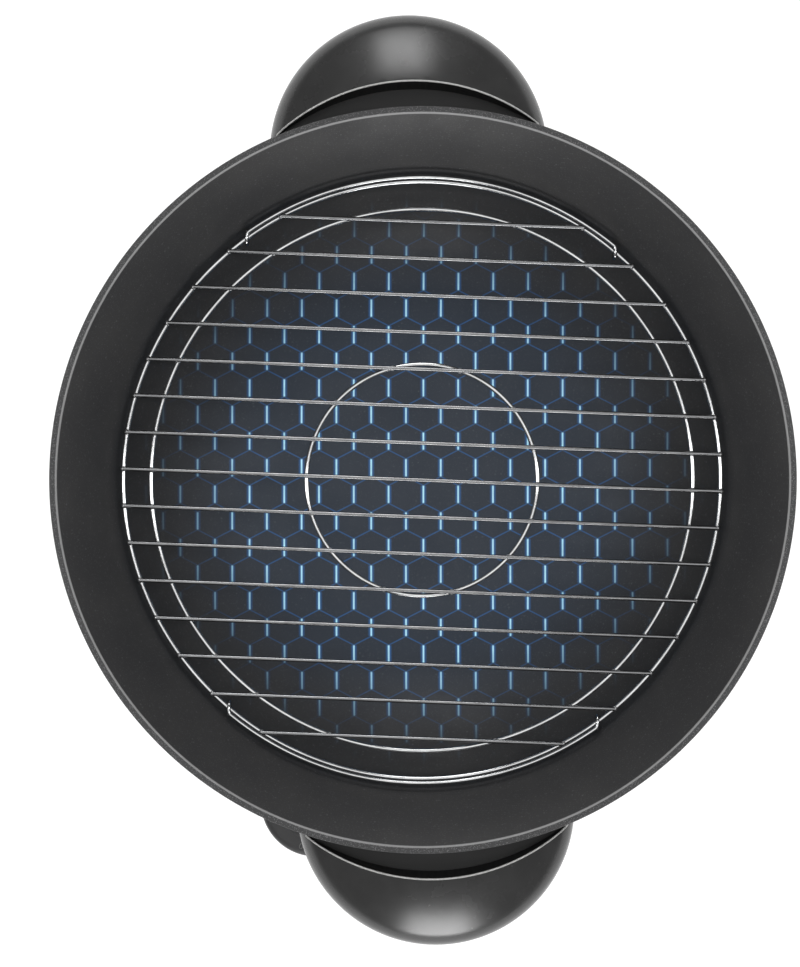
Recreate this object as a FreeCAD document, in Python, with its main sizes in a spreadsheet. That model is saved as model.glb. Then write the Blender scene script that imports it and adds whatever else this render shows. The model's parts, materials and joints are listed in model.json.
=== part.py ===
import FreeCAD, Part
import math
import os
import re
import Sketcher
from FreeCAD import Placement, Rotation, Vector

# An electric wok in millimetres. The origin is on the surface it stands on, under the middle of the
# bowl; +Z is up, the side handles lie on +X and -X, and the front is -Y. The control probe plugs in
# between the right handle and the front.

SIZES = (
    # stand
    ("footHeight", "6", "rubber foot under the bottom plate"),
    ("footRadius", "11", "rubber foot"),
    ("footInset", "20", "middle of a foot inwards of the stand's edge"),
    ("footStem", "4", "radius of the stem of a foot"),
    ("footBarb", "5.2", "radius of the barb that holds the stem"),
    ("plateThickness", "3", "bottom plate"),
    ("seatHeight", "30", "top of the deck that carries the pan"),
    ("skirtRadius", "126", "stand at its bottom and top edges"),
    ("skirtWaist", "40", "radius of the hollow curve of the stand in section"),
    ("skirtWall", "3", "moulded walls of the stand"),
    ("seatGap", "1.5", "air between the stand's top edge and the pan"),
    ("deckInner", "80", "inner radius of the deck"),
    ("lipHeight", "3", "ring that centres the pan on the deck"),
    ("fitGap", "0.8", "clearance between parts that come apart by hand"),
    ("notchSide", "4", "notch clear of the guard at each side"),
    ("notchRound", "7", "corner radius of that notch"),
    ("baseScrewInset", "27", "stand's screws inwards of its edge"),
    ("bossRadius", "5", "screw bosses of the stand"),
    ("slotInner", "34", "inner end of the vent slots"),
    ("slotInset", "2", "outer end of the vent slots inside the shield's raised floor"),
    ("slotHalf", "2.5", "half the width of a vent slot"),
    ("slotRound", "2.2", "corners of a vent slot"),
    ("slotCount", "12", "vent slots in the bottom plate"),
    ("shieldGap", "3", "heat shield clear of the deck's wall"),
    ("shieldFlange", "9", "flange of the heat shield"),
    ("shieldHeight", "9", "rise of the shield's floor above the bottom plate"),
    ("shieldSheet", "1", "sheet of the heat shield"),
    # pan
    ("footRingRadius", "92", "cast foot ring of the pan"),
    ("footRingWall", "6", "wall of the foot ring"),
    ("footRingHeight", "17", "foot ring below the floor"),
    ("floorThickness", "5", "floor of the pan"),
    ("floorRadius", "60", "flat of the floor inside"),
    ("kneeRadius", "120", "curve from floor to wall inside"),
    ("wallSlope", "62", "slope of the wall in degrees"),
    ("rimRadius", "190", "inside of the lip"),
    ("wallThickness", "3.5", "wall of the pan"),
    ("lipChamfer", "0.5", "edges of the lip"),
    ("lugHalf", "32", "half the width of a handle lug"),
    ("lugThickness", "5", "handle lug"),
    ("lugReach", "30", "lug's end beyond the handle's centre"),
    ("lugRound", "10", "corners of the lug"),
    # heater
    ("elementRing", "66", "radius of the heating element's ring"),
    ("elementRadius", "4", "sheath of the element"),
    ("ridgeRadius", "8", "cast ridge round the element"),
    ("elementDrop", "4", "element's axis below the floor's underside"),
    ("elementBend", "12", "bend from the ring to a leg"),
    ("pinSpread", "13", "pins from the probe's axis"),
    ("pinRadius", "2.5", "terminal pin"),
    ("pinReach", "21", "pin beyond the terminal face"),
    ("pinRoot", "14", "pin inside the sheath"),
    ("terminalReach", "14", "end face of the terminal boss outside the foot ring"),
    ("terminalLength", "22", "terminal boss inwards of its face"),
    ("terminalHalf", "26", "half the width of the terminal boss"),
    ("terminalDepth", "9", "terminal boss below the pins' axis"),
    ("sensorRadius", "3", "sensor rod"),
    ("sensorReach", "44", "sensor rod inwards of the terminal face"),
    ("sensorBoss", "7.5", "boss round the sensor's bore"),
    ("boreGap", "0.3", "clearance of the sensor in its bore"),
    ("guardLength", "24", "guard beyond the terminal face"),
    ("guardHalfWidth", "29", "half the width of the guard"),
    ("guardHalfHeight", "12.5", "half the height of the guard"),
    ("guardWall", "2", "walls of the guard"),
    ("guardRound", "5", "corners of the guard"),
    ("guardBack", "3", "back wall of the guard"),
    ("guardScrewSpread", "22", "guard's screws from the probe's axis"),
    ("insulatorRadius", "4.5", "insulating bead round a pin"),
    ("insulatorLength", "5", "insulating bead"),
    # handles
    ("lobeInset", "18", "centre of a handle's round outline inwards of the lip's outside"),
    ("lobeRadius", "75", "outline of a handle"),
    ("domeDrop", "9", "crown of the handle's dome below the lip"),
    ("domeHeight", "34.7", "crown of the dome above its widest edge"),
    ("domeEdge", "20", "edge radius of the dome in section"),
    ("coverSkirt", "1.3", "straight edge under the dome"),
    ("coverWall", "3", "wall of the handle cover"),
    ("troughRadius", "120", "crisp inner edge of the dome in plan"),
    ("troughWidth", "15.5", "widest gap between the lip and the crisp inner edge"),
    ("troughDrop", "34", "floor between dome and pan below the lip"),
    ("slabThickness", "3.5", "cover above the lug"),
    ("gripThickness", "2.5", "grip plate"),
    ("gripRise", "11", "finger recess under the dome"),
    ("gripRamp", "7", "run of the recess's sloped side"),
    ("gripGap", "0.3", "clearance round the grip plate"),
    ("panGap", "0.4", "handle clear of the pan's wall"),
    ("handleScrewInset", "16", "handle screws outwards of the handle's centre"),
    ("handleScrewSpread", "20", "handle screws to each side"),
    ("screwRadius", "2", "shank of the handle and stand screws"),
    ("screwHead", "4", "head of those screws"),
    ("screwHeadHeight", "2.4", "head of those screws"),
    ("screwGap", "0.2", "clearance of a shank in its hole"),
    ("screwBite", "5", "thread of a shank in its boss"),
    ("handleBite", "3", "thread of a handle screw in the cover"),
    # rack
    ("rackHeight", "65.5", "rack rings above the pan's floor"),
    ("ringWire", "1.3", "wire radius of the rings"),
    ("crossWire", "1.1", "wire radius of the cross wires"),
    ("bailWire", "1", "wire radius of the lift handles"),
    ("middleInset", "15", "middle ring inside the outer ring"),
    ("centreRing", "62.4", "centre ring"),
    ("crossCount", "15", "cross wires"),
    ("crossEdge", "22", "outermost cross wires inside the outer ring"),
    ("weldSet", "0.3", "sinking of a cross wire into a ring at a weld"),
    ("eyeRadius", "3.65", "centre line of the curl of a lift handle round the ring"),
    ("eyeGap", "0.35", "air between a curl and the pan's wall"),
    ("bailSpread", "38", "half the arc between a lift handle's two curls in degrees"),
    ("bailOut", "1.8", "lift handle outside the outer ring"),
    ("bailBend", "3", "bend from a lift handle's bow to its necks"),
    ("curlTurn", "290", "turn of a curl round the ring in degrees"),
    ("rackTurn", "4.55", "turn of the cross wires from the handles' line in degrees"),
    # probe
    ("probeAzimuth", "20.5", "probe from the right handle's line towards the front in degrees"),
    ("noseGap", "3.5", "probe's nose clear of the guard's back wall"),
    ("noseFit", "1.3", "clearance between nose and guard"),
    ("shoulderGap", "4", "probe's shoulder clear of the guard's mouth"),
    ("shoulderHalf", "27", "half the width of the shoulder"),
    ("dialReach", "87", "dial's axis outwards of the terminal face"),
    ("probeEnd", "31.2", "radius of the probe's round end"),
    ("flareBack", "8", "where the sides join the round end, inwards of the dial's axis"),
    ("probeUp", "19", "top of the probe above its split"),
    ("probeDown", "17", "bottom of the probe below its split"),
    ("slopeRun", "24", "run of the slope behind the shoulder"),
    ("shellWall", "2.5", "walls of the probe"),
    ("shellFillet", "4", "outer edges of the probe"),
    ("noseStock", "6", "solid of the nose behind the shoulder"),
    ("sleeveWall", "1.3", "wall of a contact sleeve"),
    ("sleeveLength", "30", "contact sleeve"),
    ("contactGap", "0.05", "clearance of a pin in its sleeve and of the shaft in its hole"),
    ("sleeveInset", "2", "sleeve behind the front of the nose"),
    ("probeBoss", "3.5", "screw bosses of the probe"),
    ("probeScrewFore", "31", "front screws inwards of the dial's axis"),
    ("probeScrewForeSide", "18.5", "front screws to each side"),
    ("probeScrewAft", "15", "rear screws outwards of the dial's axis and to each side"),
    ("smallScrew", "1.5", "shank of the probe and guard screws"),
    ("smallHead", "2.8", "head of those screws"),
    ("smallHeadHeight", "2", "head of those screws"),
    ("blockStart", "38", "thermostat block's inner end from the dial's axis"),
    ("blockEnd", "12", "thermostat block's outer end from the dial's axis"),
    ("blockHalf", "12", "half the width of the thermostat block"),
    ("blockTop", "5", "top of the block above the split"),
    ("blockDepth", "12", "block below the split"),
    ("shaftRadius", "3", "dial shaft"),
    ("shaftDepth", "9", "shaft in the block"),
    ("dialRadius", "21", "skirt of the dial"),
    ("dialSkirt", "3", "height of that skirt"),
    ("dialGrip", "14.5", "grip of the dial"),
    ("dialHeight", "13", "dial"),
    ("dialLift", "0.6", "dial clear of the probe's top"),
    ("dialWall", "3", "dial above its shaft"),
    ("fluteRadius", "2.2", "flutes round the grip"),
    ("fluteCount", "12", "flutes round the grip"),
    ("pointerHalf", "1.3", "half the width of the dial's pointer"),
    ("pointerRise", "1.2", "pointer above the grip"),
    ("lensRadius", "3.5", "pilot lens"),
    ("lensInset", "28", "pilot lens inwards of the dial's axis"),
    ("lensRise", "1.6", "pilot lens above the probe's top"),
    ("lampRadius", "2", "pilot lamp"),
    ("lampLength", "7", "pilot lamp"),
    ("glandRadius", "6", "cord gland"),
    ("glandBore", "3.75", "hole for the cord"),
    ("glandLength", "9", "cord gland"),
    ("glandDrop", "7.2", "gland's axis below the split"),
    ("glandFlange", "7", "flange of the gland inside the wall"),
)

# Each of these follows from the sizes above.
WORKED = (
    ("plateTop", "footHeight + plateThickness", "top of the bottom plate"),
    ("footCircle", "skirtRadius - footInset", "circle of the feet"),
    ("baseScrewCircle", "skirtRadius - baseScrewInset", "circle of the stand's screws"),
    ("shieldRadius", "deckInner - shieldGap", "heat shield over its flange"),
    ("shieldTop", "shieldRadius - shieldFlange", "raised floor of the shield"),
    ("slotOuter", "shieldTop - slotInset", "outer end of the vent slots"),
    ("underside", "seatHeight + footRingHeight", "underside of the pan's floor"),
    ("floorTop", "underside + floorThickness", "cooking floor"),
    ("kneeX", "floorRadius + kneeRadius * sin(wallSlope)", "inner end of the knee"),
    ("kneeZ", "floorTop + kneeRadius * (1 - cos(wallSlope))", "inner end of the knee"),
    ("rimZ", "kneeZ + (rimRadius - kneeX) * tan(wallSlope)", "top of the lip"),
    ("outerKnee", "kneeRadius + wallThickness", "knee outside"),
    ("outerKneeX", "floorRadius + outerKnee * sin(wallSlope)", "outer end of the knee"),
    ("outerKneeZ", "floorTop + kneeRadius - outerKnee * cos(wallSlope)", "outer end of the knee"),
    ("rimOuter", "rimRadius + wallThickness / sin(wallSlope)", "outside of the lip"),
    ("footRingTop", "floorTop + kneeRadius - sqrt(outerKnee^2 - (footRingRadius - floorRadius)^2)",
     "where the foot ring leaves the bowl"),
    ("skirtTop", "floorTop + kneeRadius - seatGap"
     " - sqrt(outerKnee^2 - (skirtRadius - 2 * skirtWall - floorRadius)^2)", "top of the stand"),
    ("skirtMiddle", "(footHeight + skirtTop) / 2", "waist of the stand"),
    ("waistCentre", "skirtRadius + sqrt(skirtWaist^2 - (skirtMiddle - footHeight)^2)",
     "centre of the hollow curve"),
    ("waistInner", "skirtWaist + skirtWall", "inner face of the hollow curve"),
    ("skirtInner", "waistCentre - sqrt(waistInner^2 - (skirtMiddle - footHeight)^2)",
     "inside of the stand at its edges"),
    ("deckBottom", "seatHeight - skirtWall", "underside of the deck"),
    ("pinZ", "underside - elementDrop", "axis of element, pins and sensor"),
    ("terminalFace", "footRingRadius + terminalReach", "end face of the terminal boss"),
    ("sensorTip", "terminalFace - sensorReach", "tip of the sensor rod"),
    ("bendX", "sqrt((elementRing + elementBend)^2 - (pinSpread + elementBend)^2)", "start of a bend"),
    ("joinX", "bendX * elementRing / (elementRing + elementBend)", "end of a bend"),
    ("joinY", "(pinSpread + elementBend) * elementRing / (elementRing + elementBend)", "end of a bend"),
    ("lobeCentre", "rimOuter - lobeInset", "centre of a handle's round outline"),
    ("domeTop", "rimZ - domeDrop", "crown of the dome"),
    ("edgeZ", "domeTop - domeHeight", "widest edge of the dome"),
    ("edgeX", "lobeRadius - domeEdge", "centre of the dome's edge curve"),
    ("domeRadius", "(edgeX^2 + domeHeight^2 - domeEdge^2) / (2 * (domeHeight - domeEdge))",
     "crown curve of the dome in section"),
    ("coverBottom", "edgeZ - coverSkirt", "bottom edge of a handle cover"),
    ("troughZ", "rimZ - troughDrop", "floor between dome and pan"),
    ("lugTop", "troughZ - slabThickness", "top of a lug"),
    ("lugBottom", "lugTop - lugThickness", "underside of a lug"),
    ("gripBottom", "lugBottom - gripThickness", "underside of the grip plate"),
    ("troughApex", "rimOuter + troughWidth", "apex of the crisp edge"),
    ("troughCentre", "troughApex - troughRadius", "centre of the crisp edge"),
    ("ringZ", "floorTop + rackHeight", "axis plane of the rack's rings"),
    ("standOff", "eyeRadius + bailWire + eyeGap", "outer ring's axis from the pan's wall"),
    ("standKnee", "kneeRadius - standOff", "knee at that distance"),
    ("standKneeRise", "kneeRadius - standKnee * cos(wallSlope)", "its upper end above the floor"),
    ("outerRing", "rackHeight < standKneeRise"
     " ? floorRadius + sqrt(standKnee^2 - (kneeRadius - rackHeight)^2)"
     " : floorRadius + standKnee * sin(wallSlope)"
     " + (rackHeight - standKneeRise) / tan(wallSlope)", "outer ring, where the wall carries it"),
    ("crossPitch", "2 * (outerRing - crossEdge) / (crossCount - 1)", "spacing of the cross wires"),
    ("crossZ", "ringZ + ringWire + crossWire - weldSet", "axis plane of the cross wires"),
    ("eyeX", "outerRing * sin(bailSpread)", "curls of a lift handle"),
    ("hingeY", "outerRing * cos(bailSpread)", "hinge line of a lift handle"),
    ("bailRadius", "outerRing + bailOut", "bow of a lift handle"),
    ("bailNeckY", "sqrt((bailRadius - bailBend)^2 - (eyeX - bailBend)^2)", "outer ends of the necks"),
    ("guardMouth", "terminalFace + guardLength", "mouth of the guard"),
    ("notchHalf", "guardHalfWidth + notchSide", "half the width of the notch for the probe"),
    ("noseFront", "terminalFace + guardBack + noseGap", "front of the probe's nose"),
    ("noseHalf", "guardHalfWidth - guardWall - noseFit", "half the width of the nose"),
    ("noseRise", "guardHalfHeight - guardWall - noseFit", "half the height of the nose"),
    ("shoulderX", "guardMouth + shoulderGap", "shoulder of the probe"),
    ("dialCentre", "terminalFace + dialReach", "dial's axis"),
    ("flareX", "dialCentre - flareBack", "where the sides join the round end"),
    ("flareY", "sqrt(probeEnd^2 - flareBack^2)", "where the sides join the round end"),
    ("flareRun", "flareX - shoulderX", "length of the hollow sides"),
    ("flareRadius", "probeEnd * (flareRun^2 + (flareY - shoulderHalf)^2)"
     " / (2 * (flareRun * flareBack - (flareY - shoulderHalf) * flareY))",
     "hollow curve of the sides, which runs into the round end without a corner"),
    ("noseEnd", "shoulderX + noseStock", "inner end of the nose's solid"),
    ("probeTop", "pinZ + probeUp", "top face of the probe"),
    ("probeTail", "dialCentre + probeEnd", "outer end of the probe"),
    ("sleeveRadius", "pinRadius + contactGap + sleeveWall", "outside of a contact sleeve"),
    ("dialBase", "probeTop + dialLift", "underside of the dial"),
    ("blockInnerX", "dialCentre - blockStart", "inner end of the thermostat block"),
    ("shaftFoot", "pinZ + blockTop - shaftDepth", "lower end of the dial shaft"),
)

NAMES = {row[0] for row in SIZES + WORKED}
WORD = re.compile(r"[A-Za-z]\w*")
SKETCH_IDS = {"origin": -1, "flat axis": -1, "upright axis": -2}
CCW = 1
CW = -1
WHOLE_TURN = 360
SPARE = "1"     # how far a cutting tool runs past the face it opens
TOUCH = 1e-3    # an edge or face this near to a plane lies in it

doc = FreeCAD.newDocument("ElectricWok")
sheet = doc.addObject("Spreadsheet::Sheet", "Sizes")
pieces = []


def in_sheet(text, prefix="Sizes."):
    """Put the sheet's name before each size in an expression."""
    return WORD.sub(lambda word: prefix * (word.group() in NAMES) + word.group(), text)


def fill_sheet():
    for row, (name, content, meaning) in enumerate(SIZES + WORKED, start=1):
        sheet.set("A%d" % row, meaning)
        sheet.set("B%d" % row, content if row <= len(SIZES) else "=" + content)
        sheet.setAlias("B%d" % row, name)
    doc.recompute()


def number(text):
    return float(sheet.evalExpression(in_sheet(text)))


def bind(thing, **sizes):
    for name, text in sizes.items():
        thing.setExpression(name, in_sheet(text))
    return thing


def place(thing, x="0", y="0", z="0", turn=None, axis=Vector(0, 0, 1)):
    """Set a placement from expressions; turn is an angle in degrees about axis."""
    if turn is not None:
        thing.Placement = Placement(Vector(), Rotation(axis, 1))
        thing.setExpression("Placement.Rotation.Angle", in_sheet(turn))
    for name, text in (("x", x), ("y", y), ("z", z)):
        if text != "0":
            thing.setExpression("Placement.Base." + name, in_sheet(text))
    return thing


def piece(thing, label):
    thing.Label = label
    pieces.append(thing)
    return thing


# ---- sketches ----

def sketch_on(body, role, name, lift="0", turn="0"):
    sketch = body.newObject("Sketcher::SketchObject", name)
    plane = next(item for item in body.Origin.OriginFeatures if item.Role == role)
    sketch.AttachmentSupport = (plane, [""])
    sketch.MapMode = "FlatFace"
    if turn != "0":
        sketch.AttachmentOffset = Placement(Vector(), Rotation(Vector(0, 0, 1), 1))
        sketch.setExpression("AttachmentOffset.Rotation.Angle", in_sheet(turn))
    if lift != "0":
        sketch.setExpression("AttachmentOffset.Base.z", in_sheet(lift))
    return sketch


def hold(sketch, kind, name, text, *where):
    index = sketch.addConstraint(Sketcher.Constraint(kind, *where, number(text)))
    sketch.renameConstraint(index, name)
    sketch.setExpression("Constraints." + name, in_sheet(text))


def hold_point(sketch, name, x, y, geometry, end):
    """Fix a point by its two coordinates, each an expression."""
    if x == "0":
        sketch.addConstraint(Sketcher.Constraint("PointOnObject", geometry, end, SKETCH_IDS["upright axis"]))
    else:
        hold(sketch, "DistanceX", "x" + name, x, SKETCH_IDS["origin"], 1, geometry, end)
    if y == "0":
        sketch.addConstraint(Sketcher.Constraint("PointOnObject", geometry, end, SKETCH_IDS["flat axis"]))
    else:
        hold(sketch, "DistanceY", "y" + name, y, SKETCH_IDS["origin"], 1, geometry, end)


def arc_between(start, end, radius, turn, large):
    chord = end - start
    middle = (start + end) * 0.5
    rise = math.sqrt(max(radius ** 2 - (chord.Length / 2) ** 2, 0))
    left = Vector(-chord.y, chord.x, 0).normalize()
    centre = middle + left * rise * turn * (-1 if large else 1)
    first, last = (start, end) if turn == CCW else (end, start)
    angles = [math.atan2(point.y - centre.y, point.x - centre.x) for point in (first, last)]
    if angles[1] < angles[0]:
        angles[1] += 2 * math.pi
    return Part.ArcOfCircle(Part.Circle(centre, Vector(0, 0, 1), radius), *angles)


def outline(sketch, corners, arcs=None, closed=True):
    """Lines through the corners; arcs gives (radius, turn, large) by the number of the first corner."""
    arcs = arcs or {}
    points = [Vector(number(x), number(y), 0) for x, y in corners]
    count = len(corners) if closed else len(corners) - 1
    heads = []
    tails = []
    for index in range(count):
        start = points[index]
        end = points[(index + 1) % len(points)]
        if index in arcs:
            radius, turn, large = arcs[index]
            sketch.addGeometry(arc_between(start, end, number(radius), turn, large))
            hold(sketch, "Radius", "r%d" % index, radius, index)
            heads.append(1 if turn == CCW else 2)
        else:
            sketch.addGeometry(Part.LineSegment(start, end))
            heads.append(1)
        tails.append(3 - heads[-1])
        hold_point(sketch, str(index), *corners[index], index, heads[-1])
    joints = range(count) if closed else range(count - 1)
    for index in joints:
        after = (index + 1) % count
        sketch.addConstraint(Sketcher.Constraint("Coincident", index, tails[index], after, heads[after]))
    if not closed:
        hold_point(sketch, str(count), *corners[count], count - 1, tails[-1])


def circle(sketch, radius, x="0", y="0"):
    centre = Vector(number(x), number(y), 0)
    index = sketch.addGeometry(Part.Circle(centre, Vector(0, 0, 1), number(radius)))
    hold(sketch, "Radius", "r%d" % index, radius, index)
    hold_point(sketch, str(index), x, y, index, 3)


def rectangle(sketch, left, right, bottom, top):
    outline(sketch, [(left, bottom), (right, bottom), (right, top), (left, top)])


def round_rectangle(sketch, half_wide, half_high, radius, across="0", up="0"):
    """A rectangle with round corners about the middle (across, up)."""
    in_x = "%s - %s" % (half_wide, radius)
    in_y = "%s - %s" % (half_high, radius)
    corners = []
    for x_sign, y_sign, flat_first in ((-1, -1, True), (1, -1, False), (1, 1, True), (-1, 1, False)):
        on_flat = ("%s + %d * (%s)" % (across, x_sign, in_x), "%s + %d * (%s)" % (up, y_sign, half_high))
        on_side = ("%s + %d * (%s)" % (across, x_sign, half_wide), "%s + %d * (%s)" % (up, y_sign, in_y))
        pair = [on_side, on_flat] if flat_first else [on_flat, on_side]
        corners += pair
    outline(sketch, corners, {index: (radius, CCW, False) for index in (0, 2, 4, 6)})


# ---- features ----

def new_body(name):
    return doc.addObject("PartDesign::Body", name)


def feature(body, kind, name, sketch, **sizes):
    made = body.newObject("PartDesign::" + kind, name)
    made.Profile = sketch
    return bind(made, **sizes)


def turned(body, name, sketch, kind="Revolution"):
    made = feature(body, kind, name, sketch)
    made.ReferenceAxis = (sketch, ["V_Axis"])
    made.Angle = WHOLE_TURN
    return made


def pad(body, name, sketch, length, down=False, both_ways=False):
    made = feature(body, "Pad", name, sketch, Length=length)
    made.Reversed = down
    if both_ways:
        made.SideType = "Symmetric"
    return made


def pocket(body, name, sketch, length, up=False, both_ways=False):
    made = feature(body, "Pocket", name, sketch, Length=length)
    made.Reversed = up
    if both_ways:
        made.SideType = "Symmetric"
    return made


def ring_of(body, name, original, count):
    """Repeat a feature evenly about the body's upright axis."""
    pattern = body.newObject("PartDesign::PolarPattern", name)
    pattern.Originals = [original]
    pattern.Axis = (next(item for item in body.Origin.OriginFeatures if item.Role == "Z_Axis"), [""])
    pattern.Angle = WHOLE_TURN
    bind(pattern, Occurrences=count)
    body.Tip = pattern
    return pattern


def pipe(body, kind, name, profile, path):
    made = body.newObject("PartDesign::" + kind, name)
    made.Profile = profile
    made.Spine = (path, [""])
    return made


def edges_where(shape, wanted):
    return ["Edge%d" % (index + 1) for index, edge in enumerate(shape.Edges) if wanted(edge)]


def dress(body, kind, name, wanted, size, amount):
    """Fillet or chamfer the edges of the body's tip that are wanted."""
    doc.recompute()
    base = body.Tip
    made = body.newObject("PartDesign::" + kind, name)
    made.Base = (base, edges_where(base.Shape, wanted))
    return bind(made, **{size: amount})


def cylinder(name, radius, length, **where):
    return place(bind(doc.addObject("Part::Cylinder", name), Radius=radius, Height=length), **where)


def cut(name, base, tool):
    made = doc.addObject("Part::Cut", name)
    made.Base = base
    made.Tool = tool
    return made


def fuse(name, shapes):
    made = doc.addObject("Part::MultiFuse", name)
    made.Shapes = shapes
    return made


def group(name, shapes):
    made = doc.addObject("Part::Compound", name)
    made.Links = shapes
    return made


def at_probe(thing, along="0", side="0", up="0"):
    """Turn a part from the +X line to the probe's line, and move it along and beside that line."""
    return place(
        thing,
        x="(%s) * cos(probeAzimuth) + (%s) * sin(probeAzimuth)" % (along, side),
        y="(%s) * cos(probeAzimuth) - (%s) * sin(probeAzimuth)" % (side, along),
        z=up,
        turn="-probeAzimuth",
    )


# ---- pan ----

def element_path(body, name):
    """Two legs, two bends and an open ring, in the plane of the pins."""
    path = sketch_on(body, "XY_Plane", name, lift="pinZ")
    corners = [
        ("terminalFace", "pinSpread"), ("bendX", "pinSpread"), ("joinX", "joinY"),
        ("joinX", "-joinY"), ("bendX", "-pinSpread"), ("terminalFace", "-pinSpread"),
    ]
    bend = ("elementBend", CW, False)
    outline(path, corners, {1: bend, 2: ("elementRing", CCW, True), 3: bend}, closed=False)
    return path


def element_section(body, name, radius):
    section = sketch_on(body, "YZ_Plane", name, lift="terminalFace")
    circle(section, radius, "pinSpread", "pinZ")
    return section


def wok_pan():
    """The casting: a filled bowl with its ridge, bosses and lugs, then hollowed in one cut."""
    body = new_body("Pan")
    outside = sketch_on(body, "XZ_Plane", "PanOutside")
    outline(outside, [
        ("0", "underside"), ("footRingRadius - footRingWall", "underside"),
        ("footRingRadius - footRingWall", "seatHeight"), ("footRingRadius", "seatHeight"),
        ("footRingRadius", "footRingTop"), ("outerKneeX", "outerKneeZ"),
        ("rimOuter", "rimZ"), ("0", "rimZ"),
    ], {4: ("outerKnee", CCW, False)})
    turned(body, "Casting", outside)

    path = element_path(body, "RidgePath")
    pipe(body, "AdditivePipe", "ElementRidge", element_section(body, "RidgeSection", "ridgeRadius"), path)

    boss = sketch_on(body, "YZ_Plane", "TerminalBossOutline", lift="terminalFace - terminalLength")
    rectangle(boss, "-terminalHalf", "terminalHalf", "pinZ - terminalDepth", "floorTop + terminalDepth")
    pad(body, "TerminalBoss", boss, "terminalLength")

    tube = sketch_on(body, "YZ_Plane", "SensorBossOutline", lift="sensorTip - sensorBoss")
    circle(tube, "sensorBoss", "0", "pinZ")
    pad(body, "SensorBoss", tube, "terminalFace - sensorTip + sensorBoss")

    lug = sketch_on(body, "XY_Plane", "LugOutline", lift="lugBottom", turn="probeAzimuth")
    end = "lobeCentre + lugReach"
    outline(lug, [
        ("floorRadius", "-lugHalf"), (end + " - lugRound", "-lugHalf"), (end, "-lugHalf + lugRound"),
        (end, "lugHalf - lugRound"), (end + " - lugRound", "lugHalf"), ("floorRadius", "lugHalf"),
    ], {1: ("lugRound", CCW, False), 3: ("lugRound", CCW, False)})
    ring_of(body, "BothLugs", pad(body, "Lug", lug, "lugThickness"), "2")

    inside = sketch_on(body, "XZ_Plane", "PanInside")
    outline(inside, [
        ("0", "floorTop"), ("floorRadius", "floorTop"), ("kneeX", "kneeZ"), ("rimRadius", "rimZ"),
        ("rimRadius", "rimZ + " + SPARE), ("0", "rimZ + " + SPARE),
    ], {1: ("kneeRadius", CCW, False)})
    turned(body, "BowlCavity", inside, kind="Groove")

    channel = element_section(body, "ChannelSection", "elementRadius")
    pipe(body, "SubtractivePipe", "ElementChannel", channel, path)

    bore = sketch_on(body, "YZ_Plane", "SensorBoreOutline", lift="terminalFace")
    circle(bore, "sensorRadius + boreGap", "0", "pinZ")
    pocket(body, "SensorBore", bore, "terminalFace - sensorTip + boreGap")

    screws = sketch_on(body, "YZ_Plane", "GuardScrewHoles", lift="terminalFace")
    circle(screws, "smallScrew", "guardScrewSpread", "pinZ")
    circle(screws, "smallScrew", "-guardScrewSpread", "pinZ")
    pocket(body, "GuardThreads", screws, "screwBite")

    holes = sketch_on(body, "XY_Plane", "LugHoleOutline", lift="lugTop", turn="probeAzimuth")
    for index in (1, -1):
        circle(holes, "screwRadius + screwGap", "lobeCentre + handleScrewInset",
               "%d * handleScrewSpread" % index)
    ring_of(body, "AllLugHoles", pocket(body, "LugHoles", holes, "lugThickness"), "2")

    def on_lip(edge):
        return edge.BoundBox.ZMin > number("rimZ") - TOUCH

    dress(body, "Chamfer", "LipEdges", on_lip, "Size", "lipChamfer")
    piece(at_probe(body), "wok_pan")


def heating_element():
    body = new_body("Element")
    path = element_path(body, "ElementPath")
    pipe(body, "AdditivePipe", "Sheath", element_section(body, "SheathSection", "elementRadius"), path)
    bores = sketch_on(body, "YZ_Plane", "PinBores", lift="terminalFace")
    circle(bores, "pinRadius", "pinSpread", "pinZ")
    circle(bores, "pinRadius", "-pinSpread", "pinZ")
    pocket(body, "PinRoots", bores, "pinRoot")
    piece(at_probe(body), "heating_element")


def along_probe(name, radius, length, start, side="0", up="pinZ"):
    """A round rod on the probe's line."""
    rod = bind(doc.addObject("Part::Cylinder", name), Radius=radius, Height=length)
    rod.Placement = Placement(Vector(), Rotation(Vector(0, 1, 0), 90))
    return place(rod, x=start, y=side, z=up)


def terminal_pins():
    pins = []
    beads = []
    for name, side in (("Left", "pinSpread"), ("Right", "-pinSpread")):
        pins.append(along_probe("Pin" + name, "pinRadius", "pinRoot + pinReach",
                                "terminalFace - pinRoot", side))
        bead = along_probe("Bead" + name, "insulatorRadius", "insulatorLength", "terminalFace", side)
        hole = along_probe("BeadHole" + name, "pinRadius", "insulatorLength", "terminalFace", side)
        beads.append(cut("Insulator" + name, bead, hole))
    piece(at_probe(group("Pins", pins)), "terminal_pins")
    piece(at_probe(group("Beads", beads)), "pin_insulators")


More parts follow.
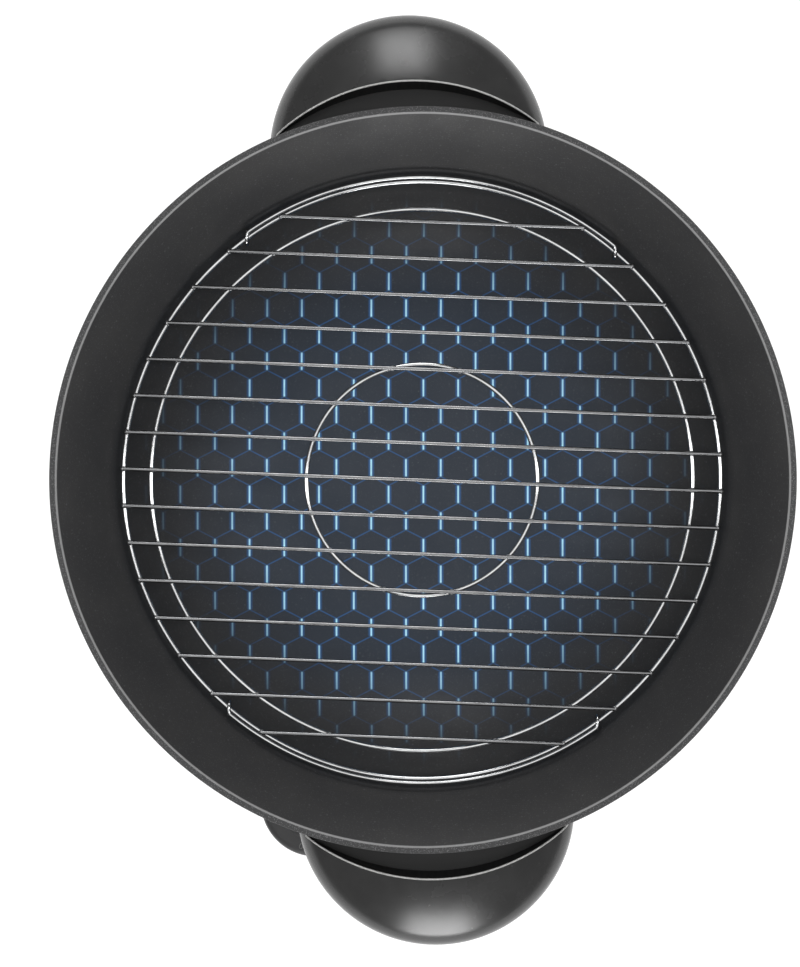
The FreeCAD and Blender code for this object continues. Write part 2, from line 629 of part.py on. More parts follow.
def terminal_guard():
    body = new_body("Guard")
    rim = sketch_on(body, "YZ_Plane", "GuardOutline", lift="terminalFace")
    round_rectangle(rim, "guardHalfWidth", "guardHalfHeight", "guardRound", up="pinZ")
    pad(body, "GuardSleeve", rim, "guardLength")
    mouth = sketch_on(body, "YZ_Plane", "GuardMouth", lift="guardMouth")
    round_rectangle(mouth, "(guardHalfWidth - guardWall)", "(guardHalfHeight - guardWall)",
                    "(guardRound - guardWall)", up="pinZ")
    pocket(body, "GuardHollow", mouth, "guardLength - guardBack")
    back = sketch_on(body, "YZ_Plane", "GuardHoles", lift="terminalFace + guardBack")
    circle(back, "sensorRadius + fitGap", "0", "pinZ")
    for sign in (1, -1):
        circle(back, "insulatorRadius", "%d * pinSpread" % sign, "pinZ")
        circle(back, "smallScrew", "%d * guardScrewSpread" % sign, "pinZ")
    pocket(body, "GuardThrough", back, "guardBack")
    piece(at_probe(body), "terminal_guard")

    screws = []
    for name, sign in (("Left", 1), ("Right", -1)):
        side = "%d * guardScrewSpread" % sign
        shank = along_probe("GuardShank" + name, "smallScrew", "screwBite + guardBack",
                            "terminalFace - screwBite", side)
        head = along_probe("GuardHead" + name, "smallHead", "smallHeadHeight",
                           "terminalFace + guardBack", side)
        screws.append(fuse("GuardScrew" + name, [shank, head]))
    piece(at_probe(group("GuardScrews", screws)), "guard_screws")


# ---- handles ----

def dome(name, inset, drop):
    """A solid dome of revolution about the handle's own centre, set in from the outer surface."""
    body = new_body(name)
    section = sketch_on(body, "XZ_Plane", name + "Section")
    share = "(domeRadius - (%s)) / (domeRadius - domeEdge)" % inset
    edge = "lobeRadius - (%s)" % inset
    outline(section, [
        ("0", "coverBottom - (%s)" % drop), (edge, "coverBottom - (%s)" % drop), (edge, "edgeZ"),
        ("edgeX * " + share, "domeTop - domeRadius + (domeRadius - domeHeight) * " + share),
        ("0", "domeTop - (%s)" % inset),
    ], {2: ("domeEdge - (%s)" % inset, CCW, False), 3: ("domeRadius - (%s)" % inset, CCW, False)})
    turned(body, name + "Turned", section)
    return place(body, x="lobeCentre")


def pan_cone(name):
    """The space of the pan's straight wall with clearance, which the handle parts keep out of."""
    foot = "coverBottom - 2 * " + SPARE
    radius = "outerKneeX + panGap + (%s - outerKneeZ) / tan(wallSlope)"
    cone = doc.addObject("Part::Cone", name)
    bind(cone, Radius1=radius % ("(%s)" % foot), Radius2=radius % "rimZ", Height="rimZ - (%s)" % foot)
    return place(cone, z=foot)


def handle_cover(side, turn):
    """A hollow half-moon dome, open below, with a dark trough between its crisp edge and the pan."""
    outer = dome("CoverDome" + side, "0", "0")
    hollow = dome("CoverHollow" + side, "coverWall", SPARE)
    keep = cylinder("TroughWall" + side, "troughRadius + coverWall", "rimZ - lugTop",
                    x="troughCentre", z="lugTop")
    shell = cut("CoverShell" + side, outer, cut("CoverCavity" + side, hollow, keep))
    trough = cylinder("Trough" + side, "troughRadius", "rimZ - troughZ", x="troughCentre", z="troughZ")
    open_top = cut("CoverTrough" + side, shell, trough)
    fitted = cut("CoverFitted" + side, open_top, pan_cone("CoverCone" + side))
    drills = []
    for index, sign in enumerate((1, -1)):
        drills.append(cylinder("CoverDrill%s%d" % (side, index), "screwRadius", "handleBite",
                               x="lobeCentre + handleScrewInset",
                               y="%d * handleScrewSpread" % sign, z="lugTop"))
    cover = cut("Cover" + side, fitted, fuse("CoverDrills" + side, drills))
    piece(place(cover, turn=turn), "handle_cover_" + side.lower())


def handle_grip(side, turn):
    """The plate under a handle: flat under the lug, then raised into the dome as a finger recess."""
    limit = dome("GripLimit" + side, "coverWall + gripGap", "0")
    body = new_body("GripSection" + side)
    section = sketch_on(body, "XZ_Plane", "GripOutline" + side)
    step = "troughApex + coverWall + gripGap"
    far = "lobeCentre + lobeRadius"
    outline(section, [
        ("kneeX", "gripBottom"), (step, "gripBottom"), (step + " + gripRamp", "gripBottom + gripRise"),
        (far, "gripBottom + gripRise"), (far, "lugBottom + gripRise"),
        (step + " + gripRamp - gripThickness / 2", "lugBottom + gripRise"),
        (step + " - gripThickness / 2", "lugBottom"), ("kneeX", "lugBottom"),
    ])
    pad(body, "GripPad" + side, section, "2 * lobeRadius", both_ways=True)
    plate = doc.addObject("Part::Common", "GripPlate" + side)
    plate.Base = limit
    plate.Tool = body
    fitted = cut("GripFitted" + side, plate, pan_cone("GripCone" + side))
    drills = []
    for index, sign in enumerate((1, -1)):
        drills.append(cylinder("GripDrill%s%d" % (side, index), "screwRadius + screwGap",
                               "gripThickness", x="lobeCentre + handleScrewInset",
                               y="%d * handleScrewSpread" % sign, z="gripBottom"))
    grip = cut("Grip" + side, fitted, fuse("GripDrills" + side, drills))
    piece(place(grip, turn=turn), "handle_grip_" + side.lower())


def upright_screw(name, x, y, underside, length, shank="screwRadius", head="screwHead",
                  head_height="screwHeadHeight"):
    """A screw put in from below: its head under a face, its shank up from that face."""
    return fuse(name, [
        cylinder(name + "Shank", shank, length, x=x, y=y, z=underside),
        cylinder(name + "Head", head, head_height, x=x, y=y, z="%s - %s" % (underside, head_height)),
    ])


def handles():
    for side, turn in (("Right", "0"), ("Left", "180")):
        handle_cover(side, turn)
        handle_grip(side, turn)
    screws = []
    for across in (1, -1):
        for sign in (1, -1):
            screws.append(upright_screw(
                "HandleScrew%d" % len(screws), "%d * (lobeCentre + handleScrewInset)" % across,
                "%d * handleScrewSpread" % sign, "gripBottom",
                "gripThickness + lugThickness + handleBite"))
    piece(group("HandleScrews", screws), "handle_screws")


# ---- stand ----

def stand_skirt():
    """A waisted shell with an inner deck and ring wall, turned in one profile."""
    body = new_body("Skirt")
    section = sketch_on(body, "XZ_Plane", "SkirtSection")
    inner_face = "waistCentre - sqrt(waistInner^2 - (skirtMiddle - (%s))^2)"
    lip = "footRingRadius + fitGap"
    outline(section, [
        ("skirtInner", "footHeight"), ("skirtRadius", "footHeight"), ("skirtRadius", "skirtTop"),
        ("skirtInner", "skirtTop"), (inner_face % "seatHeight", "seatHeight"),
        (lip + " + skirtWall", "seatHeight"), (lip + " + skirtWall", "seatHeight + lipHeight"),
        (lip, "seatHeight + lipHeight"), (lip, "seatHeight"), ("deckInner", "seatHeight"),
        ("deckInner", "plateTop"), ("deckInner + skirtWall", "plateTop"),
        ("deckInner + skirtWall", "deckBottom"), (inner_face % "deckBottom", "deckBottom"),
    ], {1: ("skirtWaist", CW, False), 3: ("waistInner", CCW, False), 13: ("waistInner", CCW, False)})
    turned(body, "SkirtShell", section)

    boss = sketch_on(body, "XY_Plane", "BossOutline", lift="plateTop")
    circle(boss, "bossRadius", "baseScrewCircle")
    ring_of(body, "SkirtBosses", pad(body, "SkirtBoss", boss, "deckBottom - plateTop"), "4")
    thread = sketch_on(body, "XY_Plane", "BossThread", lift="plateTop")
    circle(thread, "screwRadius", "baseScrewCircle")
    ring_of(body, "SkirtThreads", pocket(body, "SkirtThread", thread, "screwBite", up=True), "4")

    opening = new_body("Notch")
    shape = sketch_on(opening, "YZ_Plane", "NotchOutline", lift="footRingRadius + fitGap + 2 * skirtWall")
    top = "skirtTop + " + SPARE
    floor = "pinZ - guardHalfHeight - fitGap"
    outline(shape, [
        ("-notchHalf", floor + " + notchRound"), ("-notchHalf + notchRound", floor),
        ("notchHalf - notchRound", floor), ("notchHalf", floor + " + notchRound"),
        ("notchHalf", top), ("-notchHalf", top),
    ], {0: ("notchRound", CCW, False), 2: ("notchRound", CCW, False)})
    pad(opening, "NotchTool", shape, "skirtRadius")
    piece(cut("Stand", body, at_probe(opening)), "stand_skirt")


def bottom_plate():
    body = new_body("Plate")
    disc = sketch_on(body, "XY_Plane", "PlateOutline", lift="footHeight")
    # the skirt's inner face is nearest to the axis at the plate's top
    circle(disc, "waistCentre - sqrt(waistInner^2 - (skirtMiddle - plateTop)^2) - fitGap / 2")
    pad(body, "PlateDisc", disc, "plateThickness")
    slot = sketch_on(body, "XY_Plane", "VentSlot", lift="plateTop")
    round_rectangle(slot, "(slotOuter - slotInner) / 2", "slotHalf", "slotRound",
                    across="(slotOuter + slotInner) / 2")
    ring_of(body, "VentSlots", pocket(body, "Vent", slot, "plateThickness"), "slotCount")
    hole = sketch_on(body, "XY_Plane", "PlateScrewHole", lift="plateTop")
    circle(hole, "screwRadius + screwGap", "baseScrewCircle")
    ring_of(body, "PlateScrewHoles", pocket(body, "PlateHole", hole, "plateThickness"), "4")
    stem = sketch_on(body, "XY_Plane", "FootHole", lift="plateTop", turn="45")
    circle(stem, "footStem", "footCircle")
    ring_of(body, "FootHoles", pocket(body, "FootSocket", stem, "plateThickness"), "4")
    piece(body, "bottom_plate")


def heat_shield():
    body = new_body("Shield")
    section = sketch_on(body, "XZ_Plane", "ShieldSection")
    low = "plateTop"
    high = "plateTop + shieldHeight"
    ramp = "(shieldRadius + shieldTop) / 2"
    outline(section, [
        ("0", high), ("shieldTop", high), (ramp, low + " + shieldSheet"),
        (ramp + " - shieldSheet", low), ("shieldRadius", low), ("shieldRadius", low + " + shieldSheet"),
        (ramp + " + shieldSheet / 2", low + " + shieldSheet"),
        ("shieldTop + shieldSheet", high + " + shieldSheet"), ("0", high + " + shieldSheet"),
    ])
    turned(body, "ShieldPressing", section)
    piece(body, "heat_shield")


def rubber_feet():
    feet = []
    for index in range(4):
        angle = "45 + 90 * %d" % index
        body = new_body("Foot%d" % index)
        section = sketch_on(body, "XZ_Plane", "FootSection%d" % index)
        outline(section, [
            ("0", "0"), ("footRadius * 0.85", "0"), ("footRadius", "footHeight / 3"),
            ("footRadius", "footHeight"), ("footStem", "footHeight"), ("footStem", "plateTop"),
            ("footBarb", "plateTop"), ("footStem * 0.75", "plateTop + footHeight / 2"),
            ("0", "plateTop + footHeight / 2"),
        ])
        turned(body, "FootMoulding%d" % index, section)
        feet.append(place(body, x="footCircle * cos(%s)" % angle, y="footCircle * sin(%s)" % angle))
    piece(group("Feet", feet), "rubber_feet")


def stand_screws():
    screws = []
    for index in range(4):
        angle = "90 * %d" % index
        screws.append(upright_screw(
            "StandScrew%d" % index, "baseScrewCircle * cos(%s)" % angle,
            "baseScrewCircle * sin(%s)" % angle, "footHeight", "plateThickness + screwBite"))
    piece(group("StandScrews", screws), "stand_screws")


# ---- rack ----

def rack():
    """Rings of chrome wire under parallel cross wires, welded where they meet."""
    for name, radius, label in (
        ("OuterRing", "outerRing", "rack_outer_ring"),
        ("MiddleRing", "outerRing - middleInset", "rack_middle_ring"),
        ("CentreRing", "centreRing", "rack_centre_ring"),
    ):
        ring = new_body(name)
        section = sketch_on(ring, "XZ_Plane", name + "Section")
        circle(section, "ringWire", radius, "ringZ")
        turned(ring, name + "Wire", section)
        piece(ring, label)

    last = (int(number("crossCount")) - 1) // 2
    wires = []
    for index in range(-last, last + 1):
        half = "sqrt(outerRing^2 - (%d * crossPitch)^2)" % index
        wire = bind(doc.addObject("Part::Cylinder", "CrossWire%d" % (index + last)),
                    Radius="crossWire", Height="2 * " + half)
        wire.Placement = Placement(Vector(), Rotation(Vector(0, 1, 0), 90))
        wires.append(place(wire, x="-" + half, y="%d * crossPitch" % index))
    piece(place(group("CrossWires", wires), z="crossZ", turn="90 - rackTurn"), "rack_cross_wires")

    for side, turn in (("Left", "90 - rackTurn"), ("Right", "-90 - rackTurn")):
        piece(lift_handle("LiftHandle" + side, turn), "rack_lift_handle_" + side.lower())


def arc_through(centre, first, second, radius, start, end):
    """An arc about centre from angle start to end, measured from first towards second."""
    points = []
    for share in (0, 0.5, 1):
        angle = math.radians(start + (end - start) * share)
        points.append(centre + first * radius * math.cos(angle) + second * radius * math.sin(angle))
    return Part.Arc(*points).toShape()


def lift_handle_path():
    """The wire's centre line: a bow level with the tops of two curls that lie on the hinge line."""
    across = Vector(1, 0, 0)
    out = Vector(0, 1, 0)
    up = Vector(0, 0, 1)
    eye = Vector(number("eyeX"), number("hingeY"), 0)
    radius = number("eyeRadius")
    bend = number("bailBend")
    neck_end = Vector(eye.x, number("bailNeckY"), radius)
    bend_centre = Vector(eye.x - bend, neck_end.y, radius)
    bow_angle = math.degrees(math.atan2(bend_centre.y, bend_centre.x))
    half = [
        arc_through(eye, up, out * -1, radius, number("curlTurn"), 0),
        Part.LineSegment(eye + up * radius, neck_end).toShape(),
        arc_through(bend_centre, across, out, bend, 0, bow_angle),
    ]
    bow = arc_through(up * radius, across, out, number("bailRadius"), bow_angle, 180 - bow_angle)
    other_half = [edge.mirror(Vector(), across) for edge in half]
    return Part.Wire(Part.__sortEdges__(half + [bow] + other_half))


def lift_handle(name, turn):
    """A bow of wire over the outer ring, with a curl at each end that goes round the ring."""
    path = doc.addObject("Part::Feature", name + "Path")
    path.Shape = lift_handle_path()
    first = path.Shape.Edges[0]
    section = bind(doc.addObject("Part::Circle", name + "Section"), Radius="bailWire")
    start = first.FirstParameter if first.Orientation == "Forward" else first.LastParameter
    section.Placement = Placement(path.Shape.OrderedVertexes[0].Point,
                                  Rotation(Vector(0, 0, 1), first.tangentAt(start)))
    wire = doc.addObject("Part::Sweep", name)
    wire.Sections = [section]
    wire.Spine = (path, ["Edge%d" % (index + 1) for index in range(len(path.Shape.Edges))])
    wire.Solid = True
    return place(wire, z="ringZ", turn=turn)


# ---- probe ----

def probe_shell(name, height, up):
    """Half of the probe's case, on its split face: a paddle in plan, sloped behind the shoulder."""
    body = new_body(name)
    sign = 1 if up else -1
    plan = sketch_on(body, "XY_Plane", name + "Plan", lift="pinZ")
    side = ("flareRadius", CW, False)
    outline(plan, [
        ("shoulderX", "-shoulderHalf"), ("flareX", "-flareY"), ("flareX", "flareY"),
        ("shoulderX", "shoulderHalf"),
    ], {0: side, 1: ("probeEnd", CCW, True), 2: side})
    pad(body, name + "Block", plan, height, down=not up)
    flat = number("pinZ + %d * %s" % (sign, height))

    def outer_outline(edge):
        box = edge.BoundBox
        level = max(abs(box.ZMin - flat), abs(box.ZMax - flat)) < TOUCH
        return level and box.XLength > TOUCH

    dress(body, "Fillet", name + "Rounded", outer_outline, "Radius", "shellFillet")

    slope = sketch_on(body, "XZ_Plane", name + "Slope")
    low = "pinZ + %d * noseRise" % sign
    high = "pinZ + %d * (%s)" % (sign, height)
    outline(slope, [
        ("shoulderX", low), ("shoulderX + slopeRun", high),
        ("shoulderX + slopeRun", high + " + %d * %s" % (sign, SPARE)),
        ("shoulderX - " + SPARE, high + " + %d * %s" % (sign, SPARE)), ("shoulderX - " + SPARE, low),
    ])
    sloped = pocket(body, name + "Sloped", slope, "4 * probeEnd", both_ways=True)
    doc.recompute()

    split = number("pinZ")
    faces = ["Face%d" % (index + 1) for index, face in enumerate(sloped.Shape.Faces)
             if abs(face.BoundBox.ZMin - split) < TOUCH and abs(face.BoundBox.ZMax - split) < TOUCH]
    hollow = body.newObject("PartDesign::Thickness", name + "Hollow")
    hollow.Base = (sloped, faces)
    hollow.Reversed = True
    bind(hollow, Value="shellWall")

    nose = sketch_on(body, "XY_Plane", name + "NosePlan", lift="pinZ")
    rectangle(nose, "noseFront", "noseEnd", "-noseHalf", "noseHalf")
    pad(body, name + "Nose", nose, "noseRise", down=not up)

    bosses = sketch_on(body, "XY_Plane", name + "BossPlan", lift="pinZ")
    spots = []
    for across in (1, -1):
        spots.append(("dialCentre - probeScrewFore", "%d * probeScrewForeSide" % across))
        spots.append(("dialCentre + probeScrewAft", "%d * probeScrewAft" % across))
    for spot in spots:
        circle(bosses, "probeBoss", *spot)
    pad(body, name + "Bosses", bosses, height + " - shellWall / 2", down=not up)
    threads = sketch_on(body, "XY_Plane", name + "ThreadPlan", lift="pinZ")
    for spot in spots:
        circle(threads, "smallScrew", *spot)
    depth = "screwBite" if up else height
    pocket(body, name + "Threads", threads, depth, up=up)
    if not up:
        heads = sketch_on(body, "XY_Plane", name + "HeadPlan", lift="pinZ - (%s)" % height)
        for spot in spots:
            circle(heads, "smallHead", *spot)
        pocket(body, name + "Heads", heads, "smallHeadHeight", up=True)

    rods = sketch_on(body, "YZ_Plane", name + "RodHoles", lift="noseEnd")
    circle(rods, "sensorRadius", "0", "pinZ")
    for across in (1, -1):
        circle(rods, "sleeveRadius", "%d * pinSpread" % across, "pinZ")
    pocket(body, name + "Rods", rods, "noseEnd - noseFront")
    return body


def probe_case():
    upper = probe_shell("UpperShell", "probeUp", True)
    tops = sketch_on(upper, "XY_Plane", "TopHoles", lift="probeTop")
    circle(tops, "shaftRadius + contactGap", "dialCentre")
    circle(tops, "lensRadius", "dialCentre - lensInset")
    pocket(upper, "TopOpenings", tops, "2 * shellWall")
    piece(at_probe(upper), "probe_upper_shell")

    lower = probe_shell("LowerShell", "probeDown", False)
    exit_hole = sketch_on(lower, "YZ_Plane", "GlandHole", lift="probeTail")
    circle(exit_hole, "glandRadius", "0", "pinZ - glandDrop")
    pocket(lower, "GlandOpening", exit_hole, "2 * shellWall")
    piece(at_probe(lower), "probe_lower_shell")

    screws = []
    for along, side in (("dialCentre - probeScrewFore", "probeScrewForeSide"),
                        ("dialCentre + probeScrewAft", "probeScrewAft")):
        for sign in (1, -1):
            screws.append(upright_screw(
                "ProbeScrew%d" % len(screws), along, "%d * %s" % (sign, side),
                "pinZ - probeDown + smallHeadHeight", "probeDown - smallHeadHeight + screwBite",
                "smallScrew", "smallHead", "smallHeadHeight"))
    piece(at_probe(group("ProbeScrews", screws)), "probe_screws")


def probe_works():
    """What the probe's case holds: rod, sleeves, thermostat, lamp and gland."""
    rod = along_probe("Rod", "sensorRadius", "blockInnerX - sensorTip", "sensorTip")
    piece(at_probe(rod_group("SensorRod", rod)), "sensor_rod")

    sleeves = []
    for name, side in (("Left", "pinSpread"), ("Right", "-pinSpread")):
        start = "noseFront + sleeveInset"
        outer = along_probe("Sleeve" + name, "sleeveRadius", "sleeveLength", start, side)
        inner = along_probe("SleeveBore" + name, "pinRadius + contactGap",
                            "sleeveLength - sleeveWall", start, side)
        sleeves.append(cut("ContactSleeve" + name, outer, inner))
    piece(at_probe(group("Sleeves", sleeves)), "contact_sleeves")

    body = new_body("Thermostat")
    plan = sketch_on(body, "XY_Plane", "BlockPlan", lift="pinZ - blockDepth")
    rectangle(plan, "blockInnerX", "dialCentre + blockEnd", "-blockHalf", "blockHalf")
    pad(body, "Block", plan, "blockDepth + blockTop")
    bush = sketch_on(body, "XY_Plane", "BushPlan", lift="pinZ + blockTop")
    circle(bush, "shaftRadius + contactGap", "dialCentre")
    pocket(body, "Bush", bush, "shaftDepth + contactGap")
    piece(at_probe(body), "thermostat_block")

    lens = new_body("Lens")
    section = sketch_on(lens, "XZ_Plane", "LensSection")
    crown = "(lensRadius^2 + lensRise^2) / (2 * lensRise)"
    outline(section, [
        ("0", "probeTop - shellWall"), ("lensRadius", "probeTop - shellWall"),
        ("lensRadius", "probeTop"), ("0", "probeTop + lensRise"),
    ], {2: (crown, CCW, False)})
    turned(lens, "LensMoulding", section)
    piece(at_probe(lens, along="dialCentre - lensInset"), "pilot_lens")
    lamp = cylinder("Lamp", "lampRadius", "lampLength", x="dialCentre - lensInset",
                    z="probeTop - shellWall - lampLength")
    piece(at_probe(rod_group("PilotLamp", lamp)), "pilot_lamp")

    gland = new_body("Gland")
    section = sketch_on(gland, "XZ_Plane", "GlandSection")
    # drawn upright and laid on its side: its outer end is flush with the round end of the case
    outline(section, [
        ("glandBore", "0"), ("glandFlange", "0"), ("glandFlange", "glandLength - 2 * shellWall"),
        ("glandRadius", "glandLength - 2 * shellWall"), ("glandRadius", "glandLength"),
        ("glandBore", "glandLength"),
    ])
    turned(gland, "GlandMoulding", section)
    gland.Placement = Placement(Vector(), Rotation(Vector(0, 1, 0), 90))
    place(gland, x="probeTail - glandLength", z="pinZ - glandDrop")
    piece(at_probe(rod_group("CordGland", gland)), "cord_gland")


def rod_group(name, thing):
    """Hold one placed part, so that the group can be turned as a whole."""
    return group(name, [thing])


def dial():
    body = new_body("Dial")
    section = sketch_on(body, "XZ_Plane", "DialSection")
    bore = "shaftRadius"
    outline(section, [
        ("0", "dialHeight - dialWall"), (bore, "dialHeight - dialWall"), (bore, "0"),
        ("dialRadius", "0"), ("dialRadius", "dialSkirt / 2"), ("dialGrip + fluteRadius", "dialSkirt"),
        ("dialGrip", "dialSkirt"), ("dialGrip", "dialHeight - fluteRadius / 2"),
        ("dialGrip - fluteRadius / 2", "dialHeight"), ("0", "dialHeight"),
    ])
    turned(body, "DialMoulding", section)
    flute = sketch_on(body, "XY_Plane", "FlutePlan", lift="dialSkirt")
    circle(flute, "fluteRadius", "(dialGrip + fluteRadius / 2) * cos(15)",
           "(dialGrip + fluteRadius / 2) * sin(15)")
    ring_of(body, "Flutes", pocket(body, "Flute", flute, "dialHeight", up=True), "fluteCount")
    fin = sketch_on(body, "XY_Plane", "PointerPlan", lift="dialHeight")
    rectangle(fin, "shaftRadius", "dialGrip - fluteRadius", "-pointerHalf", "pointerHalf")
    pad(body, "Pointer", fin, "pointerRise")
    piece(at_probe(body, along="dialCentre", up="dialBase"), "temperature_dial")

    shaft = cylinder("Shaft", "shaftRadius", "dialBase + dialHeight - dialWall - shaftFoot",
                     x="dialCentre", z="shaftFoot")
    piece(at_probe(rod_group("DialShaft", shaft)), "dial_shaft")


def build():
    fill_sheet()
    wok_pan()
    heating_element()
    terminal_pins()
    terminal_guard()
    handles()
    stand_skirt()
    bottom_plate()
    heat_shield()
    rubber_feet()
    stand_screws()
    rack()
    probe_case()
    probe_works()
    dial()
    doc.recompute()


def check():
    failed = [thing.Label for thing in doc.Objects if {"Invalid", "Error"} & set(thing.State)]
    for thing in pieces:
        shape = thing.Shape
        if shape.isNull() or not shape.isValid() or not shape.Solids:
            failed.append(thing.Label)
    if failed:
        raise RuntimeError("no valid shape: " + ", ".join(failed))


def write():
    os.makedirs("parts", exist_ok=True)
    for thing in pieces:
        thing.Shape.exportStep("parts/%s.step" % thing.Label)
        box = thing.Shape.BoundBox
        print("%-24s %2d solids %9.0f mm3  z %6.1f to %6.1f" % (
            thing.Label, len(thing.Shape.Solids), thing.Shape.Volume, box.ZMin, box.ZMax))


build()
check()
write()
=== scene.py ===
import json
import math

import bmesh
import bpy
from mathutils import Matrix, Vector


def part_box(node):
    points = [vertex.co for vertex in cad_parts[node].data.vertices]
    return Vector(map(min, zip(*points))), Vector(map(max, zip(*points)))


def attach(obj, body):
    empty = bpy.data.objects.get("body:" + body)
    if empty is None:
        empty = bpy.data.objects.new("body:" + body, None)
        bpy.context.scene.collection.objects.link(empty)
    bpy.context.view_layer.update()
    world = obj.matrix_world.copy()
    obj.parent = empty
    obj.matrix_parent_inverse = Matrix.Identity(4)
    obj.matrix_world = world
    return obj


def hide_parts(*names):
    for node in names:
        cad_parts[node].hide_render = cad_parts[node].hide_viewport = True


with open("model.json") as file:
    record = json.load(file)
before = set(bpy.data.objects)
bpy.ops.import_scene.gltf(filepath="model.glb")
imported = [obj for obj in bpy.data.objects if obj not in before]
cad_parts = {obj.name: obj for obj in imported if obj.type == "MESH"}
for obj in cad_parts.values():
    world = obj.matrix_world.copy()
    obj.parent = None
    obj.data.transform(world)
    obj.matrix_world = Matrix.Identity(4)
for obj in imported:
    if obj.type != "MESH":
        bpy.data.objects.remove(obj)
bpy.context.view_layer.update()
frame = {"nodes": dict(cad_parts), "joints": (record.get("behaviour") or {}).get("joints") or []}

bl_info = {
    "name": "Electric wok",
    "version": (1, 0, 0),
    "blender": (4, 5, 0),
    "location": "3D View > Sidebar > Wok",
    "description": "Finished pieces, surfaces and stage for the packed model of an electric wok",
    "category": "Add Mesh",
}

MM = 0.001
PAN_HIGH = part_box("wok_pan")[1]
RIM_Z = PAN_HIGH.z
RIM_OUTER = PAN_HIGH.y
COVER_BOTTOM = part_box("handle_cover_right")[0].z
DIAL_LOW, DIAL_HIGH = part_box("temperature_dial")
DIAL_CENTRE = (DIAL_LOW + DIAL_HIGH) / 2
LID_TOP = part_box("probe_upper_shell")[1].z
PROBE_AXIS = next(Vector(joint["axis"]) for joint in frame["joints"] if joint["name"] == "probe_pull")
UP = Vector((0, 0, 1))
PRINT = 0.05 * MM
CAP_HEIGHT = 0.7
SAME = 1e-7
CAD_SAME = 2e-6
FINE_TURN = 288
MEDIUM_TURN = 144
SMALL_TURN = 32
WIRE_SIDES = 14
WIRE_SMOOTH = 60


# ---- settings ----

def length(name, description, millimetres):
    return bpy.props.FloatProperty(name=name, description=description, default=millimetres * MM,
                                   unit="LENGTH", subtype="DISTANCE", precision=4)


def angle(name, description, degrees):
    return bpy.props.FloatProperty(name=name, description=description, default=math.radians(degrees),
                                   unit="ROTATION", subtype="ANGLE")


def share(name, description, value):
    return bpy.props.FloatProperty(name=name, description=description, default=value, min=0.0, max=1.0)


def colour(name, description, value):
    return bpy.props.FloatVectorProperty(name=name, description=description, default=value, size=3,
                                         min=0.0, max=1.0, subtype="COLOR")


def number(name, description, value):
    return bpy.props.IntProperty(name=name, description=description, default=value, min=1)


class WokBowlSettings(bpy.types.PropertyGroup):
    rim_radius: length("Lip inside", "Inner radius of the lip", 190)
    wall: length("Wall", "Thickness of the cast wall", 3.5)
    slope: angle("Slope", "Slope of the straight wall", 62)
    knee: length("Knee", "Curve from the floor to the wall", 120)
    floor_radius: length("Floor", "Radius of the flat floor", 60)
    floor_height: length("Floor height", "Cooking floor above the table", 52)
    floor_thickness: length("Floor thickness", "Thickness of the floor", 5)
    lip_edge: length("Lip edge", "Small edges of the lip", 0.5)
    foot_ring: length("Foot ring", "Outer radius of the foot ring", 92)
    foot_ring_wall: length("Foot ring wall", "Wall of the foot ring", 6)
    coat: colour("Coat", "Charcoal of the non-stick coat", (0.026, 0.026, 0.027))
    haze: colour("Haze", "Worn patches of the coat", (0.043, 0.042, 0.041))
    fleck: colour("Flecks", "Pale flecks in the coat", (0.13, 0.13, 0.134))
    lip: colour("Lip", "Lighter coat on the lip", (0.031, 0.031, 0.032))
    lip_fleck: colour("Lip flecks", "Pale flecks in the lip", (0.22, 0.22, 0.224))
    # Painted highlight along the lip's inner edge.
    lip_line: colour("Lip highlight", "Painted highlight on the inner edge of the lip", (0.30, 0.30, 0.30))
    comb_pitch: length("Comb pitch", "Width of a cell of the honeycomb in the floor's coat", 19.96)
    comb_squash: share("Comb squash", "Height of a cell as a share of a regular one", 0.883)
    comb_across: length("Comb across", "Middle of a cell from the wok's axis, across", 1.50)
    comb_along: length("Comb along", "Middle of a cell from the wok's axis, upwards", 7.17)
    comb_reach: length("Comb reach", "Radius at which the honeycomb has faded out", 158)
    comb_focus: length("Comb focus", "Point on the axis from which the print looks flat", 1168)
    # The line colour also paints the glow round the upright sides of the cells.
    comb_line: colour("Comb line and glow", "Thin sides of the cells and the painted glow round the upright ones", (0.012, 0.14, 0.42))
    # Painted glow: bright cyan on the upright sides of the cells.
    comb_dash: colour("Comb glow dash", "Upright sides of the cells, printed bright as a painted glow", (0.50, 0.86, 1.0))
    # Painted light: blue glow cast on the floor's coat.
    comb_tint: colour("Comb glow tint", "Painted blue glow on the coat inside the honeycomb", (0.012, 0.023, 0.041))


class WokHandleSettings(bpy.types.PropertyGroup):
    centre: length("Centre", "Centre of a handle's outline from the wok's axis", RIM_OUTER / MM - 18)
    radius: length("Outline", "Radius of a handle's outline", 75)
    drop: length("Drop", "Crown of the dome below the lip", 9)
    height: length("Height", "Crown of the dome above its widest edge", 34.7)
    edge: length("Edge", "Edge radius of the dome in section", 20)
    skirt: length("Skirt", "Straight edge under the dome", 1.3)
    wall: length("Wall", "Wall of the cover", 3)
    trough_radius: length("Inner edge", "Radius of the crisp inner edge in plan", 120)
    trough_apex: length("Inner edge apex", "Crisp inner edge from the wok's axis", RIM_OUTER / MM + 15.5)
    trough_drop: length("Trough", "Floor between dome and pan below the lip", 34)
    slab: length("Slab", "Cover above the lug", 3.5)
    pan_gap: length("Gap", "Cover clear of the pan's wall", 0.4)
    crisp: length("Crisp edge", "Rounding of the inner edge", 0.9)
    grip_edge: length("Grip edge", "Rounding of the lower grip's edges", 0.4)
    plastic: colour("Plastic", "Satin black of the handles", (0.022, 0.022, 0.022))
    # Painted highlight along the crisp edge.
    edge_tone: colour("Crisp highlight tone", "Painted highlight along the crisp edge", (0.45, 0.45, 0.44))
    # Painted shade: near-black base colour for the recessed trough.
    trough_tone: colour("Trough shade", "Painted shade in the trough inside the crisp edge", (0.005, 0.005, 0.005))


